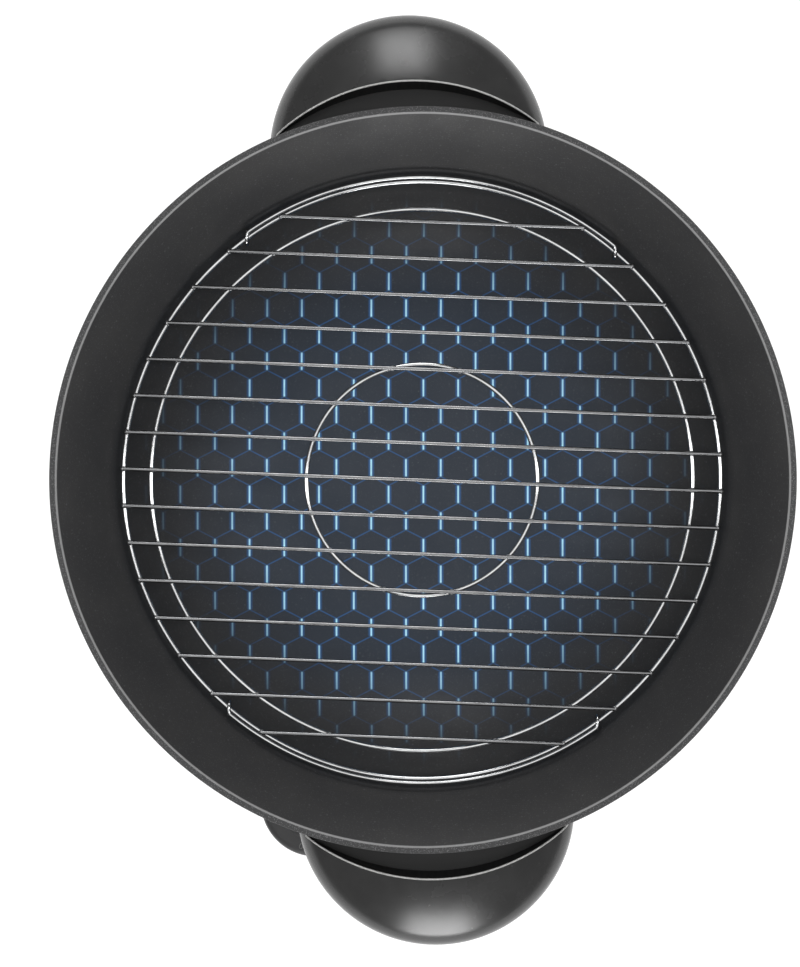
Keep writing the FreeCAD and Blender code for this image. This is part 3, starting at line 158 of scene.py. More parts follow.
class WokRackSettings(bpy.types.PropertyGroup):
    outer: length("Outer ring", "Radius of the outer ring", 161.27)
    middle: length("Middle ring", "Radius of the middle ring", 146.27)
    centre: length("Centre ring", "Radius of the centre ring", 62.4)
    height: length("Height", "Rings above the table", 117.5)
    ring_wire: length("Ring wire", "Wire radius of the rings", 1.3)
    cross_wire: length("Cross wire", "Wire radius of the cross wires", 1.1)
    cross_height: length("Cross height", "Cross wires above the table", 119.6)
    pitch: length("Pitch", "Spacing of the cross wires", 19.896)
    count: number("Cross wires", "Number of cross wires", 15)
    turn: angle("Turn", "Turn of the cross wires from the handles' line", 4.55)
    bail_wire: length("Lift wire", "Wire radius of the lift handles", 1.0)
    eye: length("Curl", "Centre line of a curl round the ring", 3.65)
    eye_angle: angle("Spread", "Half the arc between a lift handle's curls", 38)
    curl: angle("Curl turn", "Turn of a curl round the ring", 290)
    bail_out: length("Lift handle", "Bow outside the outer ring", 1.8)
    bend: length("Bend", "Bend from the bow to its necks", 3)
    chrome: colour("Chrome", "Plated wire of the rings and lift handles", (0.52, 0.525, 0.53))
    # Painted shade: the cross wires get a darker copy of the chrome, for the darker look of their
    # reflections.
    bright_wire: colour("Shaded cross wire", "Drawn wire across the rings", (0.21, 0.212, 0.216))


class WokStandSettings(bpy.types.PropertyGroup):
    seat: length("Seat", "Foot ring of the pan above the table", 30)
    skirt_edge: length("Skirt edge", "Rounding of the skirt's edges", 0.5)
    plate_edge: length("Plate edge", "Rounding of the bottom plate's edges", 0.4)
    guard_edge: length("Guard edge", "Rounding of the terminal guard's edges", 0.4)
    foot_radius: length("Foot", "Radius of a rubber foot", 11)
    foot_height: length("Foot height", "Rubber foot under the bottom plate", 6)
    foot_plate: length("Foot plate", "Thickness of the plate that holds a foot", 3)
    foot_stem: length("Foot stem", "Radius of a foot's stem", 4)
    plastic: colour("Plastic", "Black of the stand", (0.022, 0.022, 0.023))


class WokFixingSettings(bpy.types.PropertyGroup):
    head: length("Head", "Radius of the heads on handles and stand", 4)
    head_height: length("Head height", "Height of those heads", 2.4)
    shank: length("Shank", "Radius of their shanks", 2)
    small_head: length("Small head", "Radius of the heads on guard and probe", 2.8)
    small_head_height: length("Small head height", "Height of those heads", 2)
    small_shank: length("Small shank", "Radius of their shanks", 1.5)
    weld: length("Weld", "Radius of a weld bead on the rack", 1.55)


class WokProbeSettings(bpy.types.PropertyGroup):
    case_edge: length("Case edge", "Rounding of the case's edges", 0.35)
    dial_edge: length("Dial edge", "Rounding of the dial's edges", 0.3)
    dial_radius: length("Dial", "Skirt of the dial", 21)
    figure_height: length("Figures", "Height of the figures round the dial", 3.6)
    figure_circle: length("Figure circle", "Middle of the figures from the dial's axis", 25.6)
    figure_count: number("Figure count", "Number of figures", 10)
    dial_range: angle("Dial range", "Turn of the dial from its first to its last figure", 270)
    ticks_between: number("Ticks", "Ticks from one figure to the next", 3)
    tick_gap: length("Tick gap", "Ticks clear of the dial", 0.5)
    tick: length("Tick", "Length of a tick", 0.7)
    figure_tick: length("Figure tick", "Length of a tick at a figure", 1.2)
    tick_half: length("Half tick", "Half the width of a tick", 0.16)
    line_start: length("Line start", "Start of the dial's printed line from its axis", 4.2)
    line_end: length("Line end", "End of that line from the dial's axis", 11.6)
    line_half: length("Half line", "Half the width of that line", 0.5)
    plastic: colour("Plastic", "Satin black of the probe", (0.024, 0.024, 0.025))
    figures: colour("Figures", "Printed figures", (0.13, 0.13, 0.128))
    lens: colour("Lens", "Clear red of the pilot lens", (0.75, 0.05, 0.03))


class WokStageSettings(bpy.types.PropertyGroup):
    camera_height: length("Camera height", "Camera above the lip's plane", 1007)
    frame_width: length("Frame width", "Width seen in the lip's plane", 414.2)
    camera_left: length("Camera left", "Wok's axis right of the frame's middle", 11.9)
    camera_down: length("Camera down", "Wok's axis above the frame's middle", 1.87)
    roll: angle("Roll", "Turn of the handles' line in the frame", 2.38)
    floor_half: length("Half floor", "Half the side of the floor", 4000)
    floor_below: length("Floor below", "Floor below the feet", 0.2)
    floor_thick: length("Floor thickness", "Thickness of the floor", 5)
    backdrop: colour("Backdrop", "Pale floor", (1.0, 1.0, 1.0))


SETTINGS = {
    "wok_bowl": WokBowlSettings,
    "wok_handles": WokHandleSettings,
    "wok_rack": WokRackSettings,
    "wok_stand": WokStandSettings,
    "wok_fixings": WokFixingSettings,
    "wok_probe": WokProbeSettings,
    "wok_stage": WokStageSettings,
}


# ---- meshes ----

def arc(centre_x, centre_z, radius, start, end, steps):
    """Points of an arc from start to end, in degrees."""
    points = []
    for step in range(steps + 1):
        turn = math.radians(start + (end - start) * step / steps)
        points.append((centre_x + radius * math.cos(turn), centre_z + radius * math.sin(turn)))
    return points


def clean(points, least=1e-6):
    """Drop points that repeat the one before."""
    kept = []
    for point in points:
        if not kept or math.dist(point, kept[-1]) > least:
            kept.append(point)
    return kept


def mesh_from(name, build):
    """Make a mesh with bmesh: build fills it, then its faces are turned outwards."""
    work = bmesh.new()
    build(work)
    bmesh.ops.remove_doubles(work, verts=work.verts, dist=SAME)
    bmesh.ops.recalc_face_normals(work, faces=work.faces)
    mesh = bpy.data.meshes.new(name)
    work.to_mesh(mesh)
    work.free()
    return mesh


def skin(work, rings):
    """Faces from each ring of corners to the next; a ring of one corner is a pole."""
    for low, high in zip(rings, rings[1:]):
        sides = max(len(low), len(high))
        for index in range(sides):
            after = (index + 1) % sides
            corners = dict.fromkeys([low[index % len(low)], low[after % len(low)],
                                     high[after % len(high)], high[index % len(high)]])
            if len(corners) > 2:
                work.faces.new(list(corners))


def full_turn(count):
    return [2 * math.pi * index / count for index in range(count)]


def lathe(name, profile, segments, closed=False):
    """Turn a profile of (radius, height) about the upright axis; points on the axis become poles."""
    def build(work):
        rings = []
        for radius, height in clean(profile):
            turns = [0.0] if radius < SAME else full_turn(segments)
            rings.append([work.verts.new((radius * math.cos(turn), radius * math.sin(turn), height))
                          for turn in turns])
        skin(work, rings + rings[:1] if closed else rings)

    return mesh_from(name, build)


def prism(name, outline, low, high):
    """A closed block over an outline of (x, y) points."""
    def build(work):
        floor, roof = [[work.verts.new((x, y, z)) for x, y in outline] for z in (low, high)]
        work.faces.new(floor)
        work.faces.new(roof)
        skin(work, [floor, roof])

    return mesh_from(name, build)


def block(name, low, high):
    """A box from one corner to the other."""
    outline = [(low[0], low[1]), (high[0], low[1]), (high[0], high[1]), (low[0], high[1])]
    return prism(name, outline, low[2], high[2])


def tube(name, path, radius):
    """A round wire along a path, with domed ends."""
    last = len(path) - 1
    stations = []
    normal = (path[1] - path[0]).orthogonal().normalized()
    for index, point in enumerate(path):
        along = (path[min(index + 1, last)] - path[max(index - 1, 0)]).normalized()
        normal = (normal - along * normal.dot(along)).normalized()
        stations.append((point, along, normal.copy(), radius))
    domes = [(math.sin(turn) * radius, math.cos(turn) * radius)
             for turn in (math.radians(80), math.radians(55), math.radians(28))]
    point, along, across, wide = stations[0]
    head = [(point - along * out, along, across, wide) for out, wide in domes]
    point, along, across, wide = stations[-1]
    tail = [(point + along * out, along, across, wide) for out, wide in reversed(domes)]

    def build(work):
        rings = []
        for point, along, across, wide in head + stations + tail:
            up = along.cross(across)
            rings.append([work.verts.new(point + (across * math.cos(turn) + up * math.sin(turn)) * wide)
                          for turn in full_turn(WIRE_SIDES)])
        skin(work, rings)
        work.faces.new(rings[0])
        work.faces.new(rings[-1])

    return mesh_from(name, build)


def at(mesh, x=0.0, y=0.0, z=0.0, turn=0.0):
    """Turn a mesh about the upright axis and then shift it."""
    mesh.transform(Matrix.Translation((x, y, z)) @ Matrix.Rotation(turn, 4, "Z"))
    return mesh


def evaluated(data, add_modifiers=lambda holder: None):
    """A plain mesh of what the modifiers make of a mesh or a text."""
    holder = bpy.data.objects.new("work", data)
    bpy.context.scene.collection.objects.link(holder)
    add_modifiers(holder)
    graph = bpy.context.evaluated_depsgraph_get()
    made = bpy.data.meshes.new_from_object(holder.evaluated_get(graph), depsgraph=graph)
    bpy.data.objects.remove(holder)
    made.name = data.name
    return made


def carved(mesh, cutter):
    """What is left of a mesh once another one is cut out of it."""
    tool = bpy.data.objects.new("cutter", cutter)
    bpy.context.scene.collection.objects.link(tool)

    def boolean(holder):
        modifier = holder.modifiers.new("carve", "BOOLEAN")
        modifier.operation = "DIFFERENCE"
        modifier.solver = "EXACT"
        modifier.object = tool

    made = evaluated(mesh, boolean)
    bpy.data.objects.remove(tool)
    return made


def softened(mesh, width, segments, sharper_than):
    """Round the sharp edges."""
    def bevel(holder):
        modifier = holder.modifiers.new("bevel", "BEVEL")
        modifier.width = width
        modifier.segments = segments
        modifier.limit_method = "ANGLE"
        modifier.angle_limit = math.radians(sharper_than)
        modifier.use_clamp_overlap = True

    return evaluated(mesh, bevel)


def rounded(mesh, width, chosen, spacing, segments=4, sharper_than=35):
    """Round the chosen sharp edges, after the short edges that meet them are drawn in."""
    work = bmesh.new()
    work.from_mesh(mesh)
    bmesh.ops.remove_doubles(work, verts=work.verts, dist=0.15 * MM)
    bmesh.ops.dissolve_degenerate(work, edges=work.edges, dist=0.01 * MM)
    limit = math.radians(sharper_than)

    def picked():
        return [edge for edge in work.edges if len(edge.link_faces) == 2
                and edge.calc_face_angle(0.0) > limit and chosen(edge)]

    while True:
        line = {vert for edge in picked() for vert in edge.verts}
        welds = {}
        held = set()
        for edge in sorted(work.edges, key=lambda edge: edge.calc_length()):
            keep, drop = edge.verts if edge.verts[0] in line else reversed(edge.verts)
            if edge.calc_length() > spacing or keep not in line or held & {keep, drop}:
                continue
            welds[drop] = keep
            held |= {keep, drop}
        if not welds:
            break
        bmesh.ops.weld_verts(work, targetmap=welds)
        bmesh.ops.dissolve_degenerate(work, edges=work.edges, dist=0.01 * MM)
    bmesh.ops.bevel(work, geom=picked(), offset=width, segments=segments, profile=0.5,
                    affect="EDGES", clamp_overlap=False)
    work.to_mesh(mesh)
    work.free()
    return mesh


def smoothed(mesh, sharper_than):
    """Shade smooth but for the edges sharper than this."""
    mesh.shade_smooth()
    mesh.set_sharp_from_angle(angle=math.radians(sharper_than))
    return mesh


def merged_copy(node, dissolve=2.0):
    """A CAD node's mesh with its corners merged and its flat faces made whole again."""
    work = bmesh.new()
    work.from_mesh(frame["nodes"][node].data)
    bmesh.ops.remove_doubles(work, verts=work.verts, dist=CAD_SAME)
    bmesh.ops.dissolve_limit(work, angle_limit=math.radians(dissolve), verts=work.verts,
                             edges=work.edges)
    mesh = bpy.data.meshes.new(node)
    work.to_mesh(mesh)
    work.free()
    mesh.materials.clear()
    return mesh


def dressed_copy(node, width, segments=2, sharper_than=32):
    """A CAD node's mesh with rounded edges, whose large faces shade flat between them."""
    mesh = smoothed(softened(merged_copy(node), width, segments, sharper_than), 40)

    def weigh(holder):
        modifier = holder.modifiers.new("normals", "WEIGHTED_NORMAL")
        modifier.keep_sharp = True

    return evaluated(mesh, weigh)


def finish_piece(name, mesh, finish, body, slot, *nodes):
    """Put a finished mesh in the scene, on its body, in place of its CAD nodes; the slot is not used."""
    piece = bpy.data.objects.new(name, mesh)
    bpy.context.scene.collection.objects.link(piece)
    mesh.materials.clear()
    mesh.materials.append(material(finish))
    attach(piece, body)
    if nodes:
        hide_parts(*nodes)
    return piece


def repaint(finish, *nodes):
    """Give CAD nodes that stay in view their finished material."""
    for node in nodes:
        held = frame["nodes"][node]
        held.data.materials.clear()
        held.data.materials.append(material(finish))


# ---- shader building ----

class Graph:
    """Adds nodes to one tree and returns their outputs."""

    def __init__(self, tree):
        self.tree = tree

    def node(self, kind, inputs=None, **settings):
        made = self.tree.nodes.new(kind)
        for name, value in settings.items():
            setattr(made, name, value)
        for name, value in (inputs or {}).items():
            self.feed(made.inputs[name], value)
        return made

    def feed(self, socket, value):
        if isinstance(value, bpy.types.NodeSocket):
            self.tree.links.new(value, socket)
        else:
            socket.default_value = value

    def maths(self, operation, *values):
        return self.node("ShaderNodeMath", dict(enumerate(values)), operation=operation).outputs[0]

    def plus(self, first, second):
        return self.maths("ADD", first, second)

    def minus(self, first, second):
        return self.maths("SUBTRACT", first, second)

    def times(self, first, *others):
        for other in others:
            first = self.maths("MULTIPLY", first, other)
        return first

    def rise(self, value, low, high):
        """0 below low, 1 above high, smooth between."""
        return self.node("ShaderNodeMapRange", {"Value": value, "From Min": low, "From Max": high},
                         interpolation_type="SMOOTHSTEP").outputs[0]

    def fall(self, value, low, high):
        """1 below low, 0 above high, smooth between."""
        return self.minus(1.0, self.rise(value, low, high))

    def blend(self, amount, low, high):
        """One colour towards another."""
        return self.node("ShaderNodeMix", {"Factor": amount, 6: low, 7: high}, data_type="RGBA").outputs[2]

    def mixed(self, amount, low, high):
        """One value towards another."""
        return self.node("ShaderNodeMix", {"Factor": amount, 2: low, 3: high}).outputs[0]

    def vector(self, x=0.0, y=0.0, z=0.0):
        return self.node("ShaderNodeCombineXYZ", {"X": x, "Y": y, "Z": z}).outputs[0]

    def axes(self, vector):
        return self.node("ShaderNodeSeparateXYZ", {"Vector": vector}).outputs

    def reach(self, vector):
        return self.node("ShaderNodeVectorMath", {0: vector}, operation="LENGTH").outputs["Value"]

    def place(self):
        return self.node("ShaderNodeTexCoord").outputs["Object"]

    def noise(self, place, scale, detail=3.0, roughness=0.55):
        return self.node("ShaderNodeTexNoise", {
            "Vector": place, "Scale": scale, "Detail": detail, "Roughness": roughness}).outputs["Fac"]

    def cells(self, size):
        """Cells of about this size scattered at random."""
        return self.node("ShaderNodeTexVoronoi", {
            "Vector": self.place(), "Scale": self.maths("DIVIDE", 1.0, size), "Randomness": 1.0}).outputs

    def bump(self, height, strength):
        return self.node("ShaderNodeBump", {
            "Height": height, "Strength": strength, "Distance": 0.2 * MM}).outputs["Normal"]

    def use(self, name, output, **values):
        """One output of a node group fed with these values."""
        made = self.node("ShaderNodeGroup", node_tree=bpy.data.node_groups[name])
        for key, value in values.items():
            self.feed(made.inputs[key], value)
        return made.outputs[output]


def rgba(value):
    return (*value, 1.0)


def new_tree(kind, name, output, output_type, **inputs):
    """A node tree with one output, and inputs given as a socket type or as a number's default."""
    tree = bpy.data.node_groups.new(name, kind)
    tree.interface.new_socket(output, in_out="OUTPUT", socket_type="NodeSocket" + output_type)
    for label, given in inputs.items():
        typed = isinstance(given, str)
        socket = tree.interface.new_socket(
            label.replace("_", " "), in_out="INPUT", socket_type="NodeSocket" + (given if typed else "Float"))
        if not typed:
            socket.default_value = given
    graph = Graph(tree)
    return graph, graph.node("NodeGroupInput").outputs, graph.node("NodeGroupOutput").inputs


def grain_group():
    """The fine pitted grain of a spark-eroded mould, as a bump."""
    graph, given, out = new_tree("ShaderNodeTree", "Moulded grain", "Normal", "Vector",
                                 Size=0.6 * MM, Depth=0.25)
    pits = graph.rise(graph.cells(given["Size"])["Distance"], 0.05, 0.75)
    rough = graph.noise(graph.place(), graph.maths("DIVIDE", 0.45, given["Size"]), 4.0)
    height = graph.plus(pits, graph.times(rough, 0.8))
    graph.feed(out["Normal"], graph.bump(height, given["Depth"]))


def handling_group():
    """Large soft differences in gloss from wiping and handling."""
    graph, given, out = new_tree("ShaderNodeTree", "Handling", "Roughness", "Float", Low=0.3, High=0.4)
    cloud = graph.noise(graph.place(), 22.0, 4.0, 0.6)
    streak = graph.noise(graph.place(), 140.0, 3.0, 0.5)
    both = graph.plus(graph.times(cloud, 0.75), graph.times(streak, 0.25))
    graph.feed(out["Roughness"], graph.mixed(graph.rise(both, 0.3, 0.7), given["Low"], given["High"]))


def flecks_group():
    """Scattered fine flecks: a mask with a random strength for each fleck."""
    graph, given, out = new_tree("ShaderNodeTree", "Flecks", "Mask", "Float", Size=0.8 * MM, Share=0.3)
    cells = graph.cells(given["Size"])
    near = graph.fall(cells["Distance"], 0.12, 0.42)
    chance = graph.node("ShaderNodeSeparateColor", {"Color": cells["Color"]}).outputs[0]
    edge = graph.minus(1.0, given["Share"])
    graph.feed(out["Mask"], graph.times(near, graph.rise(chance, edge, graph.plus(edge, 0.25))))


def plain_material(name):
    """A material and the graph and shader that it starts with."""
    made = bpy.data.materials.new(name)
    made.use_nodes = True
    return made, Graph(made.node_tree), made.node_tree.nodes["Principled BSDF"].inputs


def varied(graph, base, other, scale=60.0):
    """Base colour that drifts softly towards another one."""
    drift = graph.rise(graph.noise(graph.place(), scale, 4.0), 0.35, 0.7)
    return graph.blend(drift, rgba(base), rgba(other))


def lighter(tone, by):
    return [channel * by for channel in tone]


def surface(name, base, other, scale, gloss, pits, sockets):
    """A material that drifts in colour and gloss, with moulded grain or the waves of drawn wire."""
    made, graph, shader = plain_material(name)
    graph.feed(shader["Base Color"], varied(graph, base, other, scale))
    graph.feed(shader["Roughness"], graph.use("Handling", "Roughness", Low=gloss[0], High=gloss[1]))
    if pits:
        normal = graph.use("Moulded grain", "Normal", Size=pits[0] * MM, Depth=pits[1])
    else:
        normal = graph.bump(graph.noise(graph.place(), 260.0, 2.0), 0.02)
    graph.feed(shader["Normal"], normal)
    for socket, value in sockets.items():
        graph.feed(shader[socket], value)
    return made


# ---- materials ----

def comb_masks(graph, bowl, stage):
    """Masks of a honeycomb seen from above: thin printed lines, the upright sides printed bright, and a
    painted glow round those sides.
    """
    turn = math.pi / 2 - stage.roll
    spread = graph.maths("DIVIDE", bowl.comb_focus - bowl.floor_height,
                         graph.minus(bowl.comb_focus, graph.axes(graph.place())["Z"]))
    flat = graph.node("ShaderNodeVectorMath", {0: graph.place(), "Scale": spread}, operation="SCALE")
    across = graph.node("ShaderNodeVectorRotate", {"Vector": flat.outputs[0], "Angle": -turn},
                        rotation_type="Z_AXIS").outputs[0]
    spot = graph.axes(across)
    pitch = bowl.comb_pitch
    tall = math.sqrt(3)
    u = graph.maths("DIVIDE", graph.minus(spot["X"], bowl.comb_across), pitch)
    v = graph.maths("DIVIDE", graph.minus(spot["Y"], bowl.comb_along), pitch * bowl.comb_squash * tall)

    def off_centre(value, shift):
        """From the middle of the nearest cell, in widths of a cell."""
        return graph.minus(graph.maths("FLOORED_MODULO", graph.plus(value, 0.5 + shift), 1.0), 0.5)

    near = []
    for shift in (0.0, 0.5):
        x = off_centre(u, shift)
        y = graph.times(off_centre(v, shift), tall)
        near.append((x, y, graph.plus(graph.times(x, x), graph.times(y, y))))
    second = graph.maths("LESS_THAN", near[1][2], near[0][2])
    x, y = [graph.maths("ABSOLUTE", graph.mixed(second, near[0][axis], near[1][axis])) for axis in (0, 1)]
    slant = graph.plus(graph.times(x, 0.5), graph.times(y, tall / 2))
    upright_gap = graph.minus(0.5, x)
    ends = graph.fall(y, 0.25, 0.31)
    lines = graph.fall(graph.minus(0.5, slant), 0.008, 0.030)
    # Painted glow: the upright sides become bright dashes, and the glow mask spreads a painted halo round
    # them.
    dash = graph.times(graph.fall(upright_gap, 0.012, 0.036), ends)
    glow = graph.times(graph.fall(upright_gap, 0.02, 0.11), ends)
    return lines, dash, glow


def coat_material():
    """Charcoal non-stick coat: flecks, a lighter lip with a painted highlight along its inner edge, and a
    faint blue honeycomb in the floor with a painted glow.
    """
    bowl = bpy.context.scene.wok_bowl
    made, graph, shader = plain_material("Non-stick coat")
    place = graph.place()
    spot = graph.axes(place)
    height = spot["Z"]
    radius = graph.reach(graph.vector(spot["X"], spot["Y"]))

    fine = graph.use("Flecks", "Mask", Size=0.75 * MM, Share=0.42)
    coarse = graph.use("Flecks", "Mask", Size=1.7 * MM, Share=0.16)
    flecks = graph.maths("MAXIMUM", graph.times(fine, 0.34), graph.times(coarse, 0.5))
    cloud = graph.rise(graph.noise(place, 30.0, 5.0), 0.3, 0.75)
    base = graph.blend(graph.times(cloud, 0.35), rgba(bowl.coat), rgba(bowl.haze))
    base = graph.blend(flecks, base, rgba(bowl.fleck))

    lines, dash, glow = comb_masks(graph, bowl, bpy.context.scene.wok_stage)
    up = graph.axes(graph.node("ShaderNodeTexCoord").outputs["Normal"])["Z"]
    inside = graph.times(graph.rise(up, 0.1, 0.2), graph.rise(
        height, bowl.floor_height - 1.0 * MM, bowl.floor_height - 0.5 * MM))
    comb = graph.times(graph.fall(radius, 0.55 * bowl.comb_reach, bowl.comb_reach), inside)
    # Painted light: the coat inside the honeycomb is tinted blue as if lit by the glow.
    tint = graph.blend(graph.times(flecks, 0.6), rgba(bowl.comb_tint), rgba(bowl.fleck))
    base = graph.blend(graph.times(comb, 0.85), base, tint)
    # Painted glow: a blue halo round the upright sides of the cells.
    base = graph.blend(graph.times(comb, glow, 0.85), base, rgba(bowl.comb_line))
    base = graph.blend(graph.times(comb, lines, 0.48), base, rgba(bowl.comb_line))
    # Painted glow: bright cyan dashes on the upright sides of the cells.
    base = graph.blend(graph.times(comb, dash), base, rgba(bowl.comb_dash))

    # The lip's flat top gets a lighter coat with paler flecks.
    lip = graph.rise(height, RIM_Z - 0.75 * MM, RIM_Z - 0.35 * MM)
    fleck = graph.times(graph.use("Flecks", "Mask", Size=0.65 * MM, Share=0.85), 0.75)
    base = graph.blend(lip, base, graph.blend(fleck, rgba(bowl.lip), rgba(bowl.lip_fleck)))
    # Painted highlight: a pale line along the lip's inner edge.
    line = graph.fall(radius, bowl.rim_radius + bowl.lip_edge * 0.9, bowl.rim_radius + bowl.lip_edge * 1.6)
    base = graph.blend(graph.times(lip, line, 0.8), base, rgba(bowl.lip_line))

    graph.feed(shader["Base Color"], base)
    smear = graph.use("Handling", "Roughness", Low=0.44, High=0.56)
    graph.feed(shader["Roughness"], graph.mixed(flecks, smear, 0.32))
    graph.feed(shader["Specular IOR Level"], 0.38)
    spun = graph.node("ShaderNodeTexNoise", {
        "Vector": graph.vector(graph.times(radius, 900.0), height), "Scale": 1.0, "Detail": 2.0})
    relief = graph.plus(graph.times(spun.outputs["Fac"], 0.35), graph.noise(place, 900.0, 3.0))
    graph.feed(shader["Normal"], graph.bump(graph.plus(relief, flecks), 0.18))
    return made


def handle_masks(graph):
    """On a handle: a painted highlight along its crisp edge, and the trough inside that edge."""
    handles = bpy.context.scene.wok_handles
    spot = graph.axes(graph.place())
    out = graph.minus(graph.maths("ABSOLUTE", spot["X"]), handles.trough_apex - handles.trough_radius)
    past = graph.minus(graph.reach(graph.vector(out, spot["Y"])), handles.trough_radius)
    floor = RIM_Z - handles.trough_drop
    above = graph.rise(spot["Z"], floor + 1.5 * MM, floor + 2.5 * MM)
    # Mask of the painted highlight along the crisp edge.
    line = graph.times(graph.rise(past, 0.03 * MM, 0.12 * MM),
                       graph.fall(past, handles.crisp, handles.crisp + 0.15 * MM), above)
    return line, graph.fall(past, -0.02 * MM, 0.05 * MM)


def handle_material():
    """Satin plastic with a painted highlight along its crisp edge, and painted shade and a matt gloss in the
    trough.
    """
    handles = bpy.context.scene.wok_handles
    made, graph, shader = plain_material("Satin handle moulding")
    line, trough = handle_masks(graph)
    base = varied(graph, handles.plastic, lighter(handles.plastic, 1.25))
    # Painted shade: the trough is coloured near black where it lies in shade.
    base = graph.blend(trough, base, rgba(handles.trough_tone))
    highlight_patchiness = graph.rise(graph.noise(graph.place(), 700.0, 2.0), 0.2, 0.6)
    # Painted highlight: a pale grey line along the crisp edge, patchy along its length.
    base = graph.blend(graph.times(line, graph.mixed(highlight_patchiness, 0.75, 1.0)), base, rgba(handles.edge_tone))
    graph.feed(shader["Base Color"], base)
    gloss = graph.use("Handling", "Roughness", Low=0.24, High=0.29)
    graph.feed(shader["Roughness"], graph.mixed(trough, gloss, 0.62))
    graph.feed(shader["Normal"], graph.use("Moulded grain", "Normal", Size=0.55 * MM, Depth=0.05))
    return made


def surfaces(scene):
    """For each finish: name, colour, the colour it drifts to, scale of that drift, least and most
    roughness, size in mm and depth of its grain (none on drawn wire), and what else its shader has."""
    metal = {"Metallic": 1.0}
    stand, probe = scene.wok_stand.plastic, scene.wok_probe.plastic
    chrome, wire = scene.wok_rack.chrome, scene.wok_rack.bright_wire
    lens, ink = scene.wok_probe.lens, scene.wok_probe.figures
    return {
        "stand": ("Grained stand moulding", stand, lighter(stand, 1.3), 60.0, (0.5, 0.6), (0.8, 0.30), {}),
        "probe": ("Satin probe moulding", probe, lighter(probe, 1.25), 60.0, (0.42, 0.5), (0.5, 0.18), {}),
        "chrome": ("Chromed wire", chrome, lighter(chrome, 0.8), 90.0, (0.13, 0.17), None, metal),
        # Painted shade: a darker copy of the chrome for the cross wires.
        "wire": ("Drawn wire", wire, lighter(wire, 0.8), 90.0, (0.14, 0.19), None, metal),
        "steel": ("Zinc-plated steel", (0.50, 0.50, 0.51), (0.38, 0.38, 0.37), 300.0,
                  (0.28, 0.4), (0.4, 0.08), metal),
        "weld": ("Plated weld", (0.34, 0.34, 0.345), (0.22, 0.22, 0.225), 500.0,
                 (0.3, 0.42), (0.4, 0.12), metal),
        "pin": ("Drawn steel", (0.62, 0.62, 0.63), (0.5, 0.5, 0.5), 200.0, (0.2, 0.32), (0.3, 0.06), metal),
        "sheet": ("Mill-finish sheet", (0.70, 0.70, 0.71), (0.56, 0.56, 0.57), 40.0,
                  (0.32, 0.46), (0.5, 0.06), metal),
        "sheath": ("Dull sheath", (0.42, 0.42, 0.43), (0.30, 0.29, 0.28), 80.0,
                   (0.5, 0.65), (0.5, 0.15), {"Metallic": 0.9}),
        "rubber": ("Matt rubber", (0.028, 0.028, 0.028), (0.04, 0.039, 0.038), 90.0,
                   (0.72, 0.86), (0.7, 0.25), {}),
        "ceramic": ("Unglazed ceramic", (0.80, 0.77, 0.70), (0.70, 0.66, 0.58), 240.0,
                    (0.6, 0.75), (0.35, 0.2), {}),
        "brass": ("Spring brass", (0.78, 0.60, 0.30), (0.62, 0.45, 0.20), 220.0,
                  (0.24, 0.36), (0.3, 0.06), metal),
        "phenolic": ("Brown phenolic", (0.20, 0.10, 0.05), (0.26, 0.14, 0.07), 260.0,
                     (0.4, 0.5), (0.4, 0.15), {}),
        "lens": ("Red lens", lens, lighter(lens, 0.8), 400.0, (0.06, 0.1), (0.5, 0.02),
                 {"Transmission Weight": 0.75, "IOR": 1.49}),
        "lamp": ("Lamp glass", (0.95, 0.75, 0.6), (0.85, 0.65, 0.5), 400.0, (0.04, 0.08), (0.4, 0.02),
                 {"Transmission Weight": 0.8, "IOR": 1.5}),
        "print": ("Printed figures", ink, lighter(ink, 0.85), 500.0, (0.45, 0.6), (0.3, 0.05), {}),
    }


made_materials = {}


def material(name):
    """The finish of this name, made once."""
    if name not in made_materials:
        special = {"coat": coat_material, "handle": handle_material}
        if name in special:
            made_materials[name] = special[name]()
        else:
            made_materials[name] = surface(*surfaces(bpy.context.scene)[name])
    return made_materials[name]


# ---- geometry trees ----

def socket_named(modifier, name):
    """The identifier of a tree's input."""
    for item in modifier.node_group.interface.items_tree:
        if item.item_type == "SOCKET" and item.in_out == "INPUT" and item.name == name:
            return item.identifier
    raise KeyError(name)


def geometry_tree(name, **inputs):
    return new_tree("GeometryNodeTree", name, "Geometry", "Geometry", Geometry="Geometry", **inputs)


def grown(tree, values, points=()):
    """A plain mesh of what a tree makes with these values, on these points if it needs any."""
    mesh = bpy.data.meshes.new("grown")
    mesh.from_pydata([tuple(point) for point in points], [], [])

    def nodes(holder):
        modifier = holder.modifiers.new("tree", "NODES")
        modifier.node_group = tree
        for key, value in values.items():
            modifier[socket_named(modifier, key)] = value

    return evaluated(mesh, nodes)


def set_pieces_tree():
    """Copies of one piece on points, its Z axis along a direction, each turned at random about it."""
    graph, given, out = geometry_tree(
        "Set pieces", Piece="Object", Facing="Vector", Seed="Int", Material="Material")
    piece = graph.node("GeometryNodeObjectInfo", {"Object": given["Piece"]}).outputs["Geometry"]
    chance = graph.node("FunctionNodeRandomValue", {"Seed": given["Seed"], 3: 2 * math.pi},
                        data_type="FLOAT").outputs[1]
    turned = graph.node("FunctionNodeAxisAngleToRotation", {"Axis": UP, "Angle": chance}).outputs[0]
    facing = graph.node("FunctionNodeAlignRotationToVector",
                        {"Rotation": turned, "Vector": given["Facing"]}, axis="Z").outputs[0]
    copies = graph.node("GeometryNodeInstanceOnPoints", {
        "Points": given["Geometry"], "Instance": piece, "Rotation": facing}).outputs["Instances"]
    return finished_tree(graph, out, copies, given["Material"])


